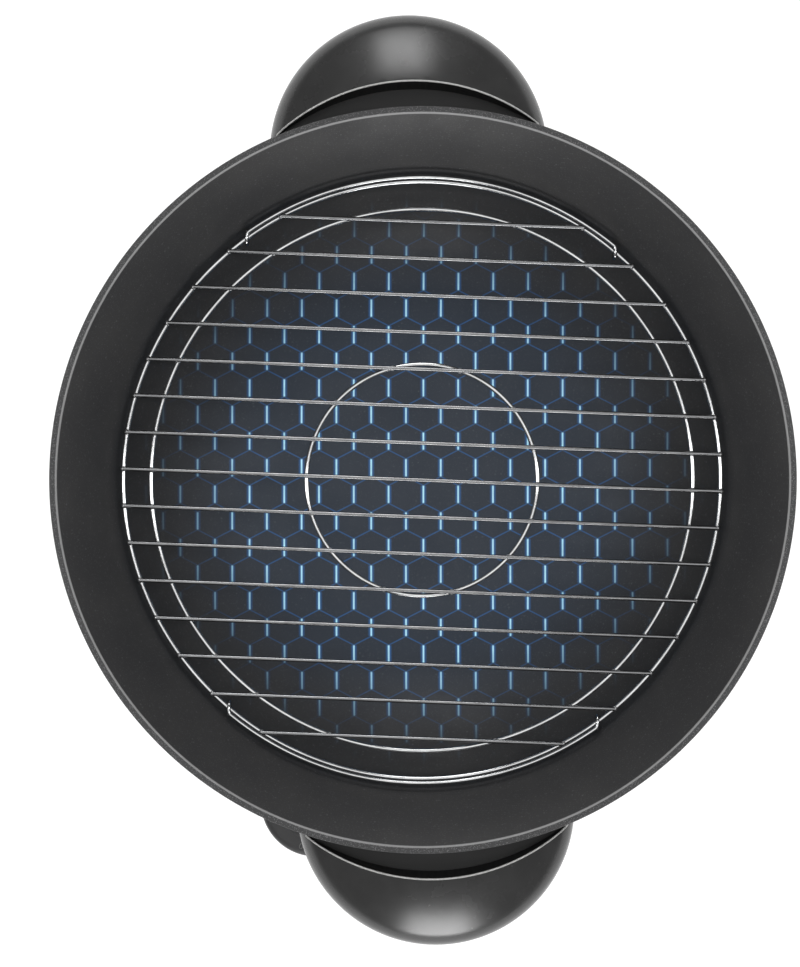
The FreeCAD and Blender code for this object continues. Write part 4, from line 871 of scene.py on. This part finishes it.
def finished_tree(graph, out, shape, finish):
    """End a tree with real meshes in their material."""
    real = graph.node("GeometryNodeRealizeInstances", {"Geometry": shape}).outputs[0]
    painted = graph.node("GeometryNodeSetMaterial", {"Geometry": real, "Material": finish}).outputs[0]
    graph.feed(out["Geometry"], painted)
    return graph.tree


def placed(mesh, facing, points, finish):
    """One plain mesh of this one on each point, facing that way."""
    template = bpy.data.objects.new("template", mesh)
    bpy.context.scene.collection.objects.link(template)
    tree = bpy.data.node_groups.get("Set pieces") or set_pieces_tree()
    values = {"Piece": template, "Facing": facing, "Seed": 7, "Material": material(finish)}
    made = grown(tree, values, points)
    bpy.data.objects.remove(template)
    return made


def loose_parts(node, facing=UP):
    """For each separate solid of a CAD node: the middle of its box, and its reach along a direction."""
    work = bmesh.new()
    work.from_mesh(frame["nodes"][node].data)
    bmesh.ops.remove_doubles(work, verts=work.verts, dist=CAD_SAME)
    left = set(work.verts)
    parts = []
    while left:
        stack = [left.pop()]
        corners = []
        while stack:
            vert = stack.pop()
            corners.append(vert.co.copy())
            near = [edge.other_vert(vert) for edge in vert.link_edges]
            fresh = [other for other in near if other in left]
            left.difference_update(fresh)
            stack += fresh
        low = Vector([min(corner[axis] for corner in corners) for axis in range(3)])
        high = Vector([max(corner[axis] for corner in corners) for axis in range(3)])
        along = [corner.dot(facing) for corner in corners]
        parts.append(((low + high) / 2, (min(along), max(along))))
    work.free()
    return sorted(parts, key=lambda part: tuple(part[0]))


# ---- bowl ----

def bowl_profile(bowl):
    """Inside, lip, outside, foot ring and underside, from pole to pole."""
    slope = math.degrees(bowl.slope)
    floor = bowl.floor_height
    inside = [(0.0, floor), (bowl.floor_radius * 0.5, floor)]
    inside += arc(bowl.floor_radius, floor + bowl.knee, bowl.knee, -90, slope - 90, 40)
    rim_outer = bowl.rim_radius + bowl.wall / math.sin(bowl.slope)
    edge = bowl.lip_edge
    run = edge / math.tan(bowl.slope)
    lip = [(bowl.rim_radius - run, RIM_Z - edge), (bowl.rim_radius + edge, RIM_Z),
           (rim_outer - edge, RIM_Z), (rim_outer - run, RIM_Z - edge)]
    outer_knee = bowl.knee + bowl.wall
    ring = bowl.foot_ring
    meets = math.degrees(math.asin((ring - bowl.floor_radius) / outer_knee))
    outside = arc(bowl.floor_radius, floor + bowl.knee, outer_knee, slope - 90, meets - 90, 24)
    under = floor - bowl.floor_thickness
    low = bpy.context.scene.wok_stand.seat
    soft = 1.0 * MM
    foot = [(ring, low + soft), (ring - soft * 0.3, low + soft * 0.3), (ring - soft, low),
            (ring - bowl.foot_ring_wall + soft, low), (ring - bowl.foot_ring_wall, low + soft),
            (ring - bowl.foot_ring_wall, under), (0.0, under)]
    return inside + lip + outside + foot


def off_profile(point, profile):
    """Distance of a point from the profile's lines, in the plane of radius and height."""
    spot = Vector((math.hypot(point.x, point.y), point.z))
    least = math.inf
    for start, end in zip(profile, profile[1:]):
        start, end = Vector(start), Vector(end)
        line = end - start
        along = 0.0 if line.length < 1e-9 else (spot - start).dot(line) / line.length_squared
        least = min(least, (spot - start - line * min(max(along, 0.0), 1.0)).length)
    return least


def cast_extras(profile):
    """Ridge, bosses and lugs: what the CAD pan has beyond its turned surfaces."""
    mesh = merged_copy("wok_pan", dissolve=0.0)
    work = bmesh.new()
    work.from_mesh(mesh)
    turned = [face for face in work.faces
              if all(off_profile(vert.co, profile) < 0.2 * MM for vert in face.verts)
              and off_profile(face.calc_center_median(), profile) < 0.6 * MM]
    bmesh.ops.delete(work, geom=turned, context="FACES")
    work.to_mesh(mesh)
    work.free()
    return mesh


def joined(name, *meshes):
    """One mesh of several."""
    work = bmesh.new()
    for mesh in meshes:
        work.from_mesh(mesh)
    made = bpy.data.meshes.new(name)
    work.to_mesh(made)
    work.free()
    return made


class WOK_OT_bowl(bpy.types.Operator):
    """Cast bowl with its lip, foot ring, bosses and lugs"""
    bl_idname = "wok.bowl"
    bl_label = "Bowl"

    def execute(self, context):
        bowl = context.scene.wok_bowl
        profile = bowl_profile(bowl)
        mesh = joined("wok_bowl", lathe("turned", profile, FINE_TURN), cast_extras(profile))
        mesh = smoothed(mesh, 28)
        finish_piece("wok_bowl", mesh, "coat", "pan", "nonstick_coat", "wok_pan")
        return {"FINISHED"}


# ---- handles ----

def dome_profile(handles, inset, drop):
    """The domed handle in section, from its crown to its bottom."""
    top = RIM_Z - handles.drop
    edge_z = top - handles.height
    edge_x = handles.radius - handles.edge
    crown = ((edge_x ** 2 + handles.height ** 2 - handles.edge ** 2)
             / (2 * (handles.height - handles.edge)))
    meet = math.degrees(math.atan2(edge_x, crown - handles.height))
    points = arc(0.0, top - crown, crown - inset, 90, 90 - meet, 30)
    points += arc(edge_x, edge_z, handles.edge - inset, 90 - meet, 0, 16)
    bottom = edge_z - handles.skirt - drop
    return points + [(handles.radius - inset, bottom), (0.0, bottom)]


def handle_mesh(handles):
    """The right cover: a hollow dome with a trough between its crisp edge and the pan."""
    outer = at(lathe("cover", dome_profile(handles, 0.0, 0.0), MEDIUM_TURN), x=handles.centre)
    hollow = at(lathe("hollow", dome_profile(handles, handles.wall, MM), MEDIUM_TURN), x=handles.centre)
    trough_z = RIM_Z - handles.trough_drop
    slab_z = trough_z - handles.slab
    middle = handles.trough_apex - handles.trough_radius
    top = RIM_Z + MM

    def drum(low, narrow, wide):
        """A round cutter up to the top, from one radius to the other."""
        return lathe("drum", [(0.0, low), (narrow, low), (wide, top), (0.0, top)], FINE_TURN)

    outside = handles.trough_radius + handles.wall
    shell = carved(outer, carved(hollow, at(drum(slab_z, outside, outside), x=middle)))
    shell = carved(shell, at(drum(trough_z, handles.trough_radius, handles.trough_radius), x=middle))
    bowl = bpy.context.scene.wok_bowl
    low = COVER_BOTTOM - 2 * MM
    rim = bowl.rim_radius + bowl.wall / math.sin(bowl.slope) + handles.pan_gap
    narrow, wide = [rim - (RIM_Z - z) / math.tan(bowl.slope) for z in (low, top)]
    shell = carved(shell, drum(low, narrow, wide))

    def on_crisp_edge(edge):
        return all(abs(math.hypot(vert.co.x - middle, vert.co.y) - handles.trough_radius) < 0.05 * MM
                   and vert.co.z > trough_z + 2 * handles.crisp for vert in edge.verts)

    return rounded(shell, handles.crisp, on_crisp_edge, 1.5 * MM)


class WOK_OT_handles(bpy.types.Operator):
    """Side handles: domed covers over raised grip plates"""
    bl_idname = "wok.handles"
    bl_label = "Handles"

    def execute(self, context):
        handles = context.scene.wok_handles
        for side, turn in (("right", 0.0), ("left", math.pi)):
            mesh = at(smoothed(handle_mesh(handles), 40), turn=turn)
            finish_piece("handle_cover_%s_dome" % side, mesh, "handle", "pan", "handle_moulding",
                         "handle_cover_" + side)
            grip = dressed_copy("handle_grip_" + side, handles.grip_edge, sharper_than=30)
            finish_piece("handle_grip_%s_plate" % side, grip, "handle", "pan", "handle_moulding",
                         "handle_grip_" + side)
        return {"FINISHED"}


# ---- stand ----

def foot_mesh(stand):
    """A rubber foot: ring that stands, cupped middle, stem and barb."""
    wide, high, stem = stand.foot_radius, stand.foot_height, stand.foot_stem
    plate = high + stand.foot_plate
    profile = [(0.0, 1.0 * MM), (wide * 0.42, 1.0 * MM), (wide * 0.50, 0.2 * MM), (wide * 0.54, 0.0),
               (wide * 0.80, 0.0), (wide * 0.85, 0.25 * MM), (wide - 0.2 * MM, high / 3),
               (wide, high / 3 + 0.3 * MM), (wide, high - 0.4 * MM), (wide - 0.4 * MM, high),
               (stem, high), (stem, plate), (stem * 1.3, plate), (stem * 0.75, plate + high / 2),
               (0.0, plate + high / 2)]
    return lathe("foot", profile, SMALL_TURN)


class WOK_OT_stand(bpy.types.Operator):
    """Waisted stand, bottom plate, heat shield and feet"""
    bl_idname = "wok.stand"
    bl_label = "Stand"

    def execute(self, context):
        stand = context.scene.wok_stand
        skirt = dressed_copy("stand_skirt", stand.skirt_edge, 3)
        finish_piece("stand_skirt_shell", skirt, "stand", "base", "black_moulding", "stand_skirt")
        plate = dressed_copy("bottom_plate", stand.plate_edge)
        finish_piece("bottom_plate_vented", plate, "stand", "base", "black_moulding", "bottom_plate")
        repaint("sheet", "heat_shield")
        spots = [Vector((*spot.xy, 0.0)) for spot, reach in loose_parts("rubber_feet")]
        feet = placed(foot_mesh(stand), UP, spots, "rubber")
        finish_piece("rubber_feet_moulded", smoothed(feet, 40), "rubber", "base", "rubber_feet",
                     "rubber_feet")
        return {"FINISHED"}


# ---- rack ----

def rack_tree(name, **size):
    """A tree with the inputs that cross wires and weld beads share, and one size of its own."""
    return geometry_tree(name, Ring_radius="Float", **size, Pitch="Float", Count="Int", Height="Float",
                         Turn="Float", Material="Material")


def spaced_points(graph, given):
    """One point for each cross wire, a pitch apart along Y, on both sides of the middle."""
    first = graph.times(graph.maths("DIVIDE", graph.minus(given["Count"], 1), -2.0), given["Pitch"])
    return graph.node("GeometryNodeMeshLine", {
        "Count": given["Count"], "Start Location": graph.vector(y=first, z=given["Height"]),
        "Offset": graph.vector(y=given["Pitch"])}).outputs["Mesh"]


def half_chord(graph, radius, y):
    return graph.maths("SQRT", graph.minus(graph.times(radius, radius), graph.times(y, y)))


def point_y(graph):
    return graph.axes(graph.node("GeometryNodeInputPosition").outputs[0])["Y"]


def turned_about_z(graph, shape, turn):
    return graph.node("GeometryNodeTransform", {
        "Geometry": shape, "Rotation": graph.vector(z=turn)}).outputs[0]


def cross_wire_tree():
    """Parallel wires across a circle, each as long as the circle is wide there."""
    graph, given, out = rack_tree("Cross wires", Wire_radius="Float")
    line = graph.node("GeometryNodeCurvePrimitiveLine",
                      {"Start": (-1.0, 0.0, 0.0), "End": (1.0, 0.0, 0.0)}).outputs["Curve"]
    half = half_chord(graph, given["Ring radius"], point_y(graph))
    wires = graph.node("GeometryNodeInstanceOnPoints", {
        "Points": spaced_points(graph, given), "Instance": line,
        "Scale": graph.vector(half, 1.0, 1.0)}).outputs["Instances"]
    curves = graph.node("GeometryNodeRealizeInstances", {"Geometry": wires}).outputs[0]
    section = graph.node("GeometryNodeCurvePrimitiveCircle",
                         {"Resolution": WIRE_SIDES, "Radius": given["Wire radius"]}).outputs["Curve"]
    mesh = graph.node("GeometryNodeCurveToMesh", {"Curve": curves, "Profile Curve": section,
                                                  "Fill Caps": True}).outputs[0]
    return finished_tree(graph, out, turned_about_z(graph, mesh, given["Turn"]), given["Material"])


def weld_tree():
    """A flattened bead where each cross wire meets a ring, on both sides."""
    graph, given, out = rack_tree("Weld beads", Bead_radius="Float")
    y = point_y(graph)
    beyond = graph.maths("GREATER_THAN", graph.maths("ABSOLUTE", y), given["Ring radius"])
    held = graph.node("GeometryNodeDeleteGeometry", {
        "Geometry": spaced_points(graph, given), "Selection": beyond}).outputs[0]
    half = half_chord(graph, given["Ring radius"], y)
    both = graph.node("GeometryNodeJoinGeometry")
    for side in (-1.0, 1.0):
        moved = graph.node("GeometryNodeSetPosition", {
            "Geometry": held, "Offset": graph.vector(graph.times(half, side))}).outputs[0]
        graph.feed(both.inputs[0], moved)
    bead = graph.node("GeometryNodeMeshUVSphere", {
        "Segments": 12, "Rings": 7, "Radius": given["Bead radius"]}).outputs["Mesh"]
    beads = graph.node("GeometryNodeInstanceOnPoints", {
        "Points": both.outputs[0], "Instance": bead, "Scale": (1.0, 1.0, 0.55)}).outputs["Instances"]
    return finished_tree(graph, out, turned_about_z(graph, beads, given["Turn"]), given["Material"])


def lift_handle_path(rack):
    """A lift handle from curl to curl: curl, neck, bend and bow, level with the tops of the curls."""
    eye_x = rack.outer * math.sin(rack.eye_angle)
    hinge_y = rack.outer * math.cos(rack.eye_angle)
    bow = rack.outer + rack.bail_out
    up = rack.eye
    corner_x = eye_x - rack.bend
    neck_y = math.sqrt((bow - rack.bend) ** 2 - corner_x ** 2)
    bow_turn = math.atan2(neck_y, corner_x)
    half = []
    for part in shares(0, 40, 40):
        turn = rack.curl * (1 - part)
        half.append(Vector((eye_x, hinge_y - up * math.sin(turn), up * math.cos(turn))))
    for part in shares(1, 8, 9):
        half.append(Vector((eye_x, hinge_y + (neck_y - hinge_y) * part, up)))
    for part in shares(0, 8, 8):
        turn = bow_turn * part
        half.append(Vector((corner_x + rack.bend * math.cos(turn), neck_y + rack.bend * math.sin(turn), up)))
    for part in shares(1, 36, 36):
        turn = bow_turn + (math.pi / 2 - bow_turn) * part
        half.append(Vector((bow * math.cos(turn), bow * math.sin(turn), up)))
    return half + [Vector((-point.x, point.y, point.z)) for point in reversed(half[:-1])]


def shares(first, last, steps):
    return [step / steps for step in range(first, last + 1)]


class WOK_OT_rack(bpy.types.Operator):
    """Steaming rack: rings, cross wires and lift handles"""
    bl_idname = "wok.rack"
    bl_label = "Rack"

    def execute(self, context):
        rack = context.scene.wok_rack
        rings = {"outer": rack.outer, "middle": rack.middle, "centre": rack.centre}
        for name, radius in rings.items():
            section = arc(radius, rack.height, rack.ring_wire, 0, 360, 16)[:-1]
            mesh = smoothed(lathe("ring", section, FINE_TURN, closed=True), WIRE_SMOOTH)
            finish_piece("rack_%s_ring_wire" % name, mesh, "chrome", "rack", "rack_wire",
                         "rack_%s_ring" % name)
        shared = {"Pitch": rack.pitch, "Count": rack.count, "Turn": math.pi / 2 - rack.turn}
        wires = grown(cross_wire_tree(), {
            "Ring radius": rack.outer, "Wire radius": rack.cross_wire, "Height": rack.cross_height,
            "Material": material("wire"), **shared})
        finish_piece("rack_cross_wires_straight", smoothed(wires, WIRE_SMOOTH), "wire", "rack",
                     "rack_wire", "rack_cross_wires")
        contact = (rack.height + rack.ring_wire + rack.cross_height - rack.cross_wire) / 2
        tree = weld_tree()
        beads = [grown(tree, {
            "Ring radius": radius, "Bead radius": context.scene.wok_fixings.weld, "Height": contact,
            "Material": material("weld"), **shared}) for radius in rings.values()]
        welds = smoothed(joined("beads", *beads), WIRE_SMOOTH)
        finish_piece("rack_weld_beads", welds, "weld", "rack", "rack_wire")
        for side, turn in (("left", math.pi / 2), ("right", -math.pi / 2)):
            mesh = smoothed(tube("lift", lift_handle_path(rack), rack.bail_wire), WIRE_SMOOTH)
            at(mesh, z=rack.height, turn=turn - rack.turn)
            finish_piece("rack_lift_handle_%s_wire" % side, mesh, "chrome", "rack_handle_" + side,
                         "rack_wire", "rack_lift_handle_" + side)
        return {"FINISHED"}


# ---- probe ----

def figure_mesh(text, height):
    """Flat letters of one figure, centred on the origin."""
    curve = bpy.data.curves.new("figure", "FONT")
    curve.body = text
    curve.size = height / CAP_HEIGHT
    curve.align_x = "CENTER"
    curve.align_y = "CENTER"
    curve.extrude = PRINT
    curve.resolution_u = 6
    return evaluated(curve)


def bar_mesh(start, end, half):
    """A printed bar from start to end out of the origin along X."""
    return block("bar", (start, -half, -PRINT), (end, half, PRINT))


def pointer_angle():
    """Where the dial's raised pointer stands at rest."""
    tops = [vert.co - DIAL_CENTRE for vert in frame["nodes"]["temperature_dial"].data.vertices
            if vert.co.z > DIAL_HIGH.z - 0.1 * MM]
    middle = sum(tops, Vector()) / len(tops)
    return math.atan2(middle.y, middle.x)


def scale_mesh(probe):
    """Plain figures and ticks printed round the dial on the probe's top face."""
    marks = []
    steps = probe.figure_count - 1
    for index in range(probe.figure_count):
        turn = pointer_angle() + probe.dial_range * index / steps
        spot = Vector((math.cos(turn), math.sin(turn))) * probe.figure_circle
        figure = figure_mesh(str(index), probe.figure_height)
        marks.append(at(figure, spot.x, spot.y, LID_TOP, turn - math.pi / 2))
    start = probe.dial_radius + probe.tick_gap
    ticks = steps * probe.ticks_between
    for index in range(ticks + 1):
        long = probe.tick if index % probe.ticks_between else probe.figure_tick
        tick = bar_mesh(start, start + long, probe.tick_half)
        marks.append(at(tick, z=LID_TOP, turn=pointer_angle() + probe.dial_range * index / ticks))
    return at(joined("scale", *marks), DIAL_CENTRE.x, DIAL_CENTRE.y)


class WOK_OT_probe(bpy.types.Operator):
    """Control probe: case, dial, lens and what it holds"""
    bl_idname = "wok.probe"
    bl_label = "Probe"

    def execute(self, context):
        probe = context.scene.wok_probe
        for node in ("probe_upper_shell", "probe_lower_shell"):
            finish_piece(node + "_case", dressed_copy(node, probe.case_edge), "probe", "probe",
                         "probe_moulding", node)
        finish_piece("temperature_dial_knob", dressed_copy("temperature_dial", probe.dial_edge), "probe",
                     "dial", "dial_moulding", "temperature_dial")
        finish_piece("probe_figures", scale_mesh(probe), "print", "probe", "probe_moulding")
        line = bar_mesh(probe.line_start, probe.line_end, probe.line_half)
        at(line, DIAL_CENTRE.x, DIAL_CENTRE.y, DIAL_HIGH.z, pointer_angle())
        finish_piece("dial_pointer_line", line, "print", "dial", "dial_moulding")
        repaint("pin", "dial_shaft", "sensor_rod")
        repaint("brass", "contact_sleeves")
        repaint("phenolic", "thermostat_block")
        repaint("lens", "pilot_lens")
        repaint("lamp", "pilot_lamp")
        repaint("rubber", "cord_gland")
        return {"FINISHED"}


class WOK_OT_terminals(bpy.types.Operator):
    """Heating element, terminal pins, beads and guard"""
    bl_idname = "wok.terminals"
    bl_label = "Terminals"

    def execute(self, context):
        guard = dressed_copy("terminal_guard", context.scene.wok_stand.guard_edge)
        finish_piece("terminal_guard_sleeve", guard, "stand", "pan", "black_moulding", "terminal_guard")
        repaint("sheath", "heating_element")
        repaint("pin", "terminal_pins")
        repaint("ceramic", "pin_insulators")
        return {"FINISHED"}


def screw_mesh(head, head_height, shank, reach):
    """A pan-head screw with a cross recess; its seat is at the origin and its head faces up Z."""
    thread = 0.7 * MM
    tip = 1.0 * MM
    root = shank * 0.86
    profile = [(0.0, -reach), (shank * 0.7, -reach), (root, tip - reach)]
    for index in range(int((reach - 2 * tip) / thread)):
        height = tip - reach + thread * index
        profile += [(shank, height + thread * 0.5), (root, height + thread)]
    edge = head_height * 0.35
    profile += [(root, -0.2 * MM), (head * 0.96, 0.0), (head, head_height * 0.12), (head, edge)]
    for index in range(1, 8):
        turn = math.pi / 2 * index / 7
        profile.append((head * math.cos(turn) ** 0.6 if index < 7 else 0.0,
                        edge + (head_height - edge) * math.sin(turn)))
    screw = lathe("screw", profile, SMALL_TURN)
    arm, half = head * 0.58, head * 0.11
    for wide, tall in ((arm, half), (half, arm)):
        slot = block("slot", (-wide, -tall, head_height * 0.42), (wide, tall, head_height + MM))
        screw = carved(screw, slot)
    return screw


def set_screws(node, facing, head, head_height, shank):
    """A screw for each CAD one of the node, its head turned the given way."""
    seats = []
    for middle, (low, high) in loose_parts(node, facing):
        seats.append(middle + facing * (high - head_height - middle.dot(facing)))
    mesh = screw_mesh(head, head_height, shank, high - low - head_height)
    return placed(mesh, facing, seats, "steel")


class WOK_OT_screws(bpy.types.Operator):
    """Screws of guard, handles, stand and probe"""
    bl_idname = "wok.screws"
    bl_label = "Screws"

    def execute(self, context):
        sizes = context.scene.wok_fixings
        large = (sizes.head, sizes.head_height, sizes.shank)
        small = (sizes.small_head, sizes.small_head_height, sizes.small_shank)
        for node, body, facing, size in (
            ("guard_screws", "pan", PROBE_AXIS, small), ("handle_screws", "pan", -UP, large),
            ("stand_screws", "base", -UP, large), ("probe_screws", "probe", -UP, small),
        ):
            mesh = smoothed(set_screws(node, facing, *size), 35)
            finish_piece(node + "_recessed", mesh, "steel", body, "steel_screws", node)
        return {"FINISHED"}


# ---- stage ----

def backdrop_material(tone):
    """White where the camera, gloss or glass sees it, with a trace of the wok's shadow."""
    made = bpy.data.materials.new("Backdrop")
    made.use_nodes = True
    made.node_tree.nodes.clear()
    graph = Graph(made.node_tree)
    path = graph.node("ShaderNodeLightPath").outputs
    seen = graph.maths("MAXIMUM", path["Is Camera Ray"], graph.maths(
        "MAXIMUM", path["Is Glossy Ray"], path["Is Transmission Ray"]))
    plain = graph.node("ShaderNodeBsdfDiffuse", {"Color": rgba(lighter(tone, 0.8))})
    shade = graph.node("ShaderNodeBsdfDiffuse", {"Color": rgba(lighter(tone, 0.30))})
    light = graph.node("ShaderNodeEmission", {"Color": rgba(tone), "Strength": 0.86})
    both = graph.node("ShaderNodeAddShader", {0: shade.outputs[0], 1: light.outputs[0]})
    mix = graph.node("ShaderNodeMixShader", {0: seen, 1: plain.outputs[0], 2: both.outputs[0]})
    graph.node("ShaderNodeOutputMaterial", {"Surface": mix.outputs[0]})
    return made


def studio_world(scene):
    """Soft light from all sides, pale where the camera sees it."""
    world = bpy.data.worlds.new("Studio")
    scene.world = world
    world.use_nodes = True
    world.node_tree.nodes.clear()
    graph = Graph(world.node_tree)
    seen = graph.node("ShaderNodeLightPath").outputs["Is Camera Ray"]
    soft, pale = [graph.node("ShaderNodeBackground", {"Color": (1.0, 1.0, 1.0, 1.0), "Strength": strength})
                  for strength in (0.26, 0.94)]
    mix = graph.node("ShaderNodeMixShader", {0: seen, 1: soft.outputs[0], 2: pale.outputs[0]})
    graph.node("ShaderNodeOutputWorld", {"Surface": mix.outputs[0]})


LAMPS = (
    # name, place, width, height, watts
    ("Overhead", (0.0, 0.0, 2.0), 1.9, 1.9, 16.0),
    ("Key", (1.45, 0.0, 0.48), 0.60, 0.54, 11.0),
    ("Fill", (-1.25, 0.0, 0.76), 0.46, 0.5, 5.2),
    ("Side left", (0.0, -1.0, 1.25), 0.18, 1.0, 5.5),
    ("Side right", (0.0, 1.0, 1.25), 0.18, 1.0, 5.5),
)
LAMP_TARGET = Vector((0.0, 0.0, 0.12))


def add_lamp(name, place, width, height, watts):
    lamp = bpy.data.lights.new(name, "AREA")
    lamp.shape = "RECTANGLE"
    lamp.size = width
    lamp.size_y = height
    lamp.energy = watts
    holder = bpy.data.objects.new(name, lamp)
    bpy.context.scene.collection.objects.link(holder)
    holder.location = place
    holder.rotation_euler = (LAMP_TARGET - Vector(place)).to_track_quat("-Z", "Y").to_euler()


def add_camera(scene, stage):
    """A camera straight above the lip."""
    lens = bpy.data.cameras.new("Camera")
    lens.sensor_fit = "HORIZONTAL"
    lens.sensor_width = 36.0
    lens.lens = lens.sensor_width * stage.camera_height / stage.frame_width
    camera = bpy.data.objects.new("Camera", lens)
    scene.collection.objects.link(camera)
    turn = math.pi / 2 - stage.roll
    right = Vector((math.cos(turn), math.sin(turn), 0))
    up = Vector((-math.sin(turn), math.cos(turn), 0))
    camera.location = -right * stage.camera_left - up * stage.camera_down
    camera.location.z = RIM_Z + stage.camera_height
    camera.rotation_euler = (0, 0, turn)
    scene.camera = camera


class WOK_OT_stage(bpy.types.Operator):
    """Pale floor, soft lamps, world and camera"""
    bl_idname = "wok.stage"
    bl_label = "Stage"

    def execute(self, context):
        scene = context.scene
        stage = scene.wok_stage
        half, top = stage.floor_half, -stage.floor_below
        floor = block("floor", (-half, -half, top - stage.floor_thick), (half, half, top))
        floor.materials.append(backdrop_material(stage.backdrop))
        ground = bpy.data.objects.new("floor", floor)
        scene.collection.objects.link(ground)
        studio_world(scene)
        for lamp in LAMPS:
            add_lamp(*lamp)
        add_camera(scene, stage)
        scene.view_settings.view_transform = "Standard"
        return {"FINISHED"}


# ---- panel and start ----

OPERATORS = (WOK_OT_bowl, WOK_OT_handles, WOK_OT_stand, WOK_OT_rack, WOK_OT_probe, WOK_OT_terminals,
             WOK_OT_screws, WOK_OT_stage)


class WOK_PT_panel(bpy.types.Panel):
    """Lists the pieces of the wok"""
    bl_label = "Electric wok"
    bl_idname = "WOK_PT_panel"
    bl_space_type = "VIEW_3D"
    bl_region_type = "UI"
    bl_category = "Wok"

    def draw(self, context):
        for operator in OPERATORS:
            self.layout.operator(operator.bl_idname)


def register():
    for group in SETTINGS.values():
        bpy.utils.register_class(group)
    for name, group in SETTINGS.items():
        setattr(bpy.types.Scene, name, bpy.props.PointerProperty(type=group))
    for operator in OPERATORS:
        bpy.utils.register_class(operator)
    bpy.utils.register_class(WOK_PT_panel)


def unregister():
    bpy.utils.unregister_class(WOK_PT_panel)
    for operator in reversed(OPERATORS):
        bpy.utils.unregister_class(operator)
    for name, group in SETTINGS.items():
        delattr(bpy.types.Scene, name)
        bpy.utils.unregister_class(group)


def main():
    register()
    for build in (grain_group, handling_group, flecks_group):
        build()
    bpy.ops.wok.bowl()
    bpy.ops.wok.handles()
    bpy.ops.wok.stand()
    bpy.ops.wok.rack()
    bpy.ops.wok.probe()
    bpy.ops.wok.terminals()
    bpy.ops.wok.screws()
    bpy.ops.wok.stage()


if __name__ == "__main__":
    main()
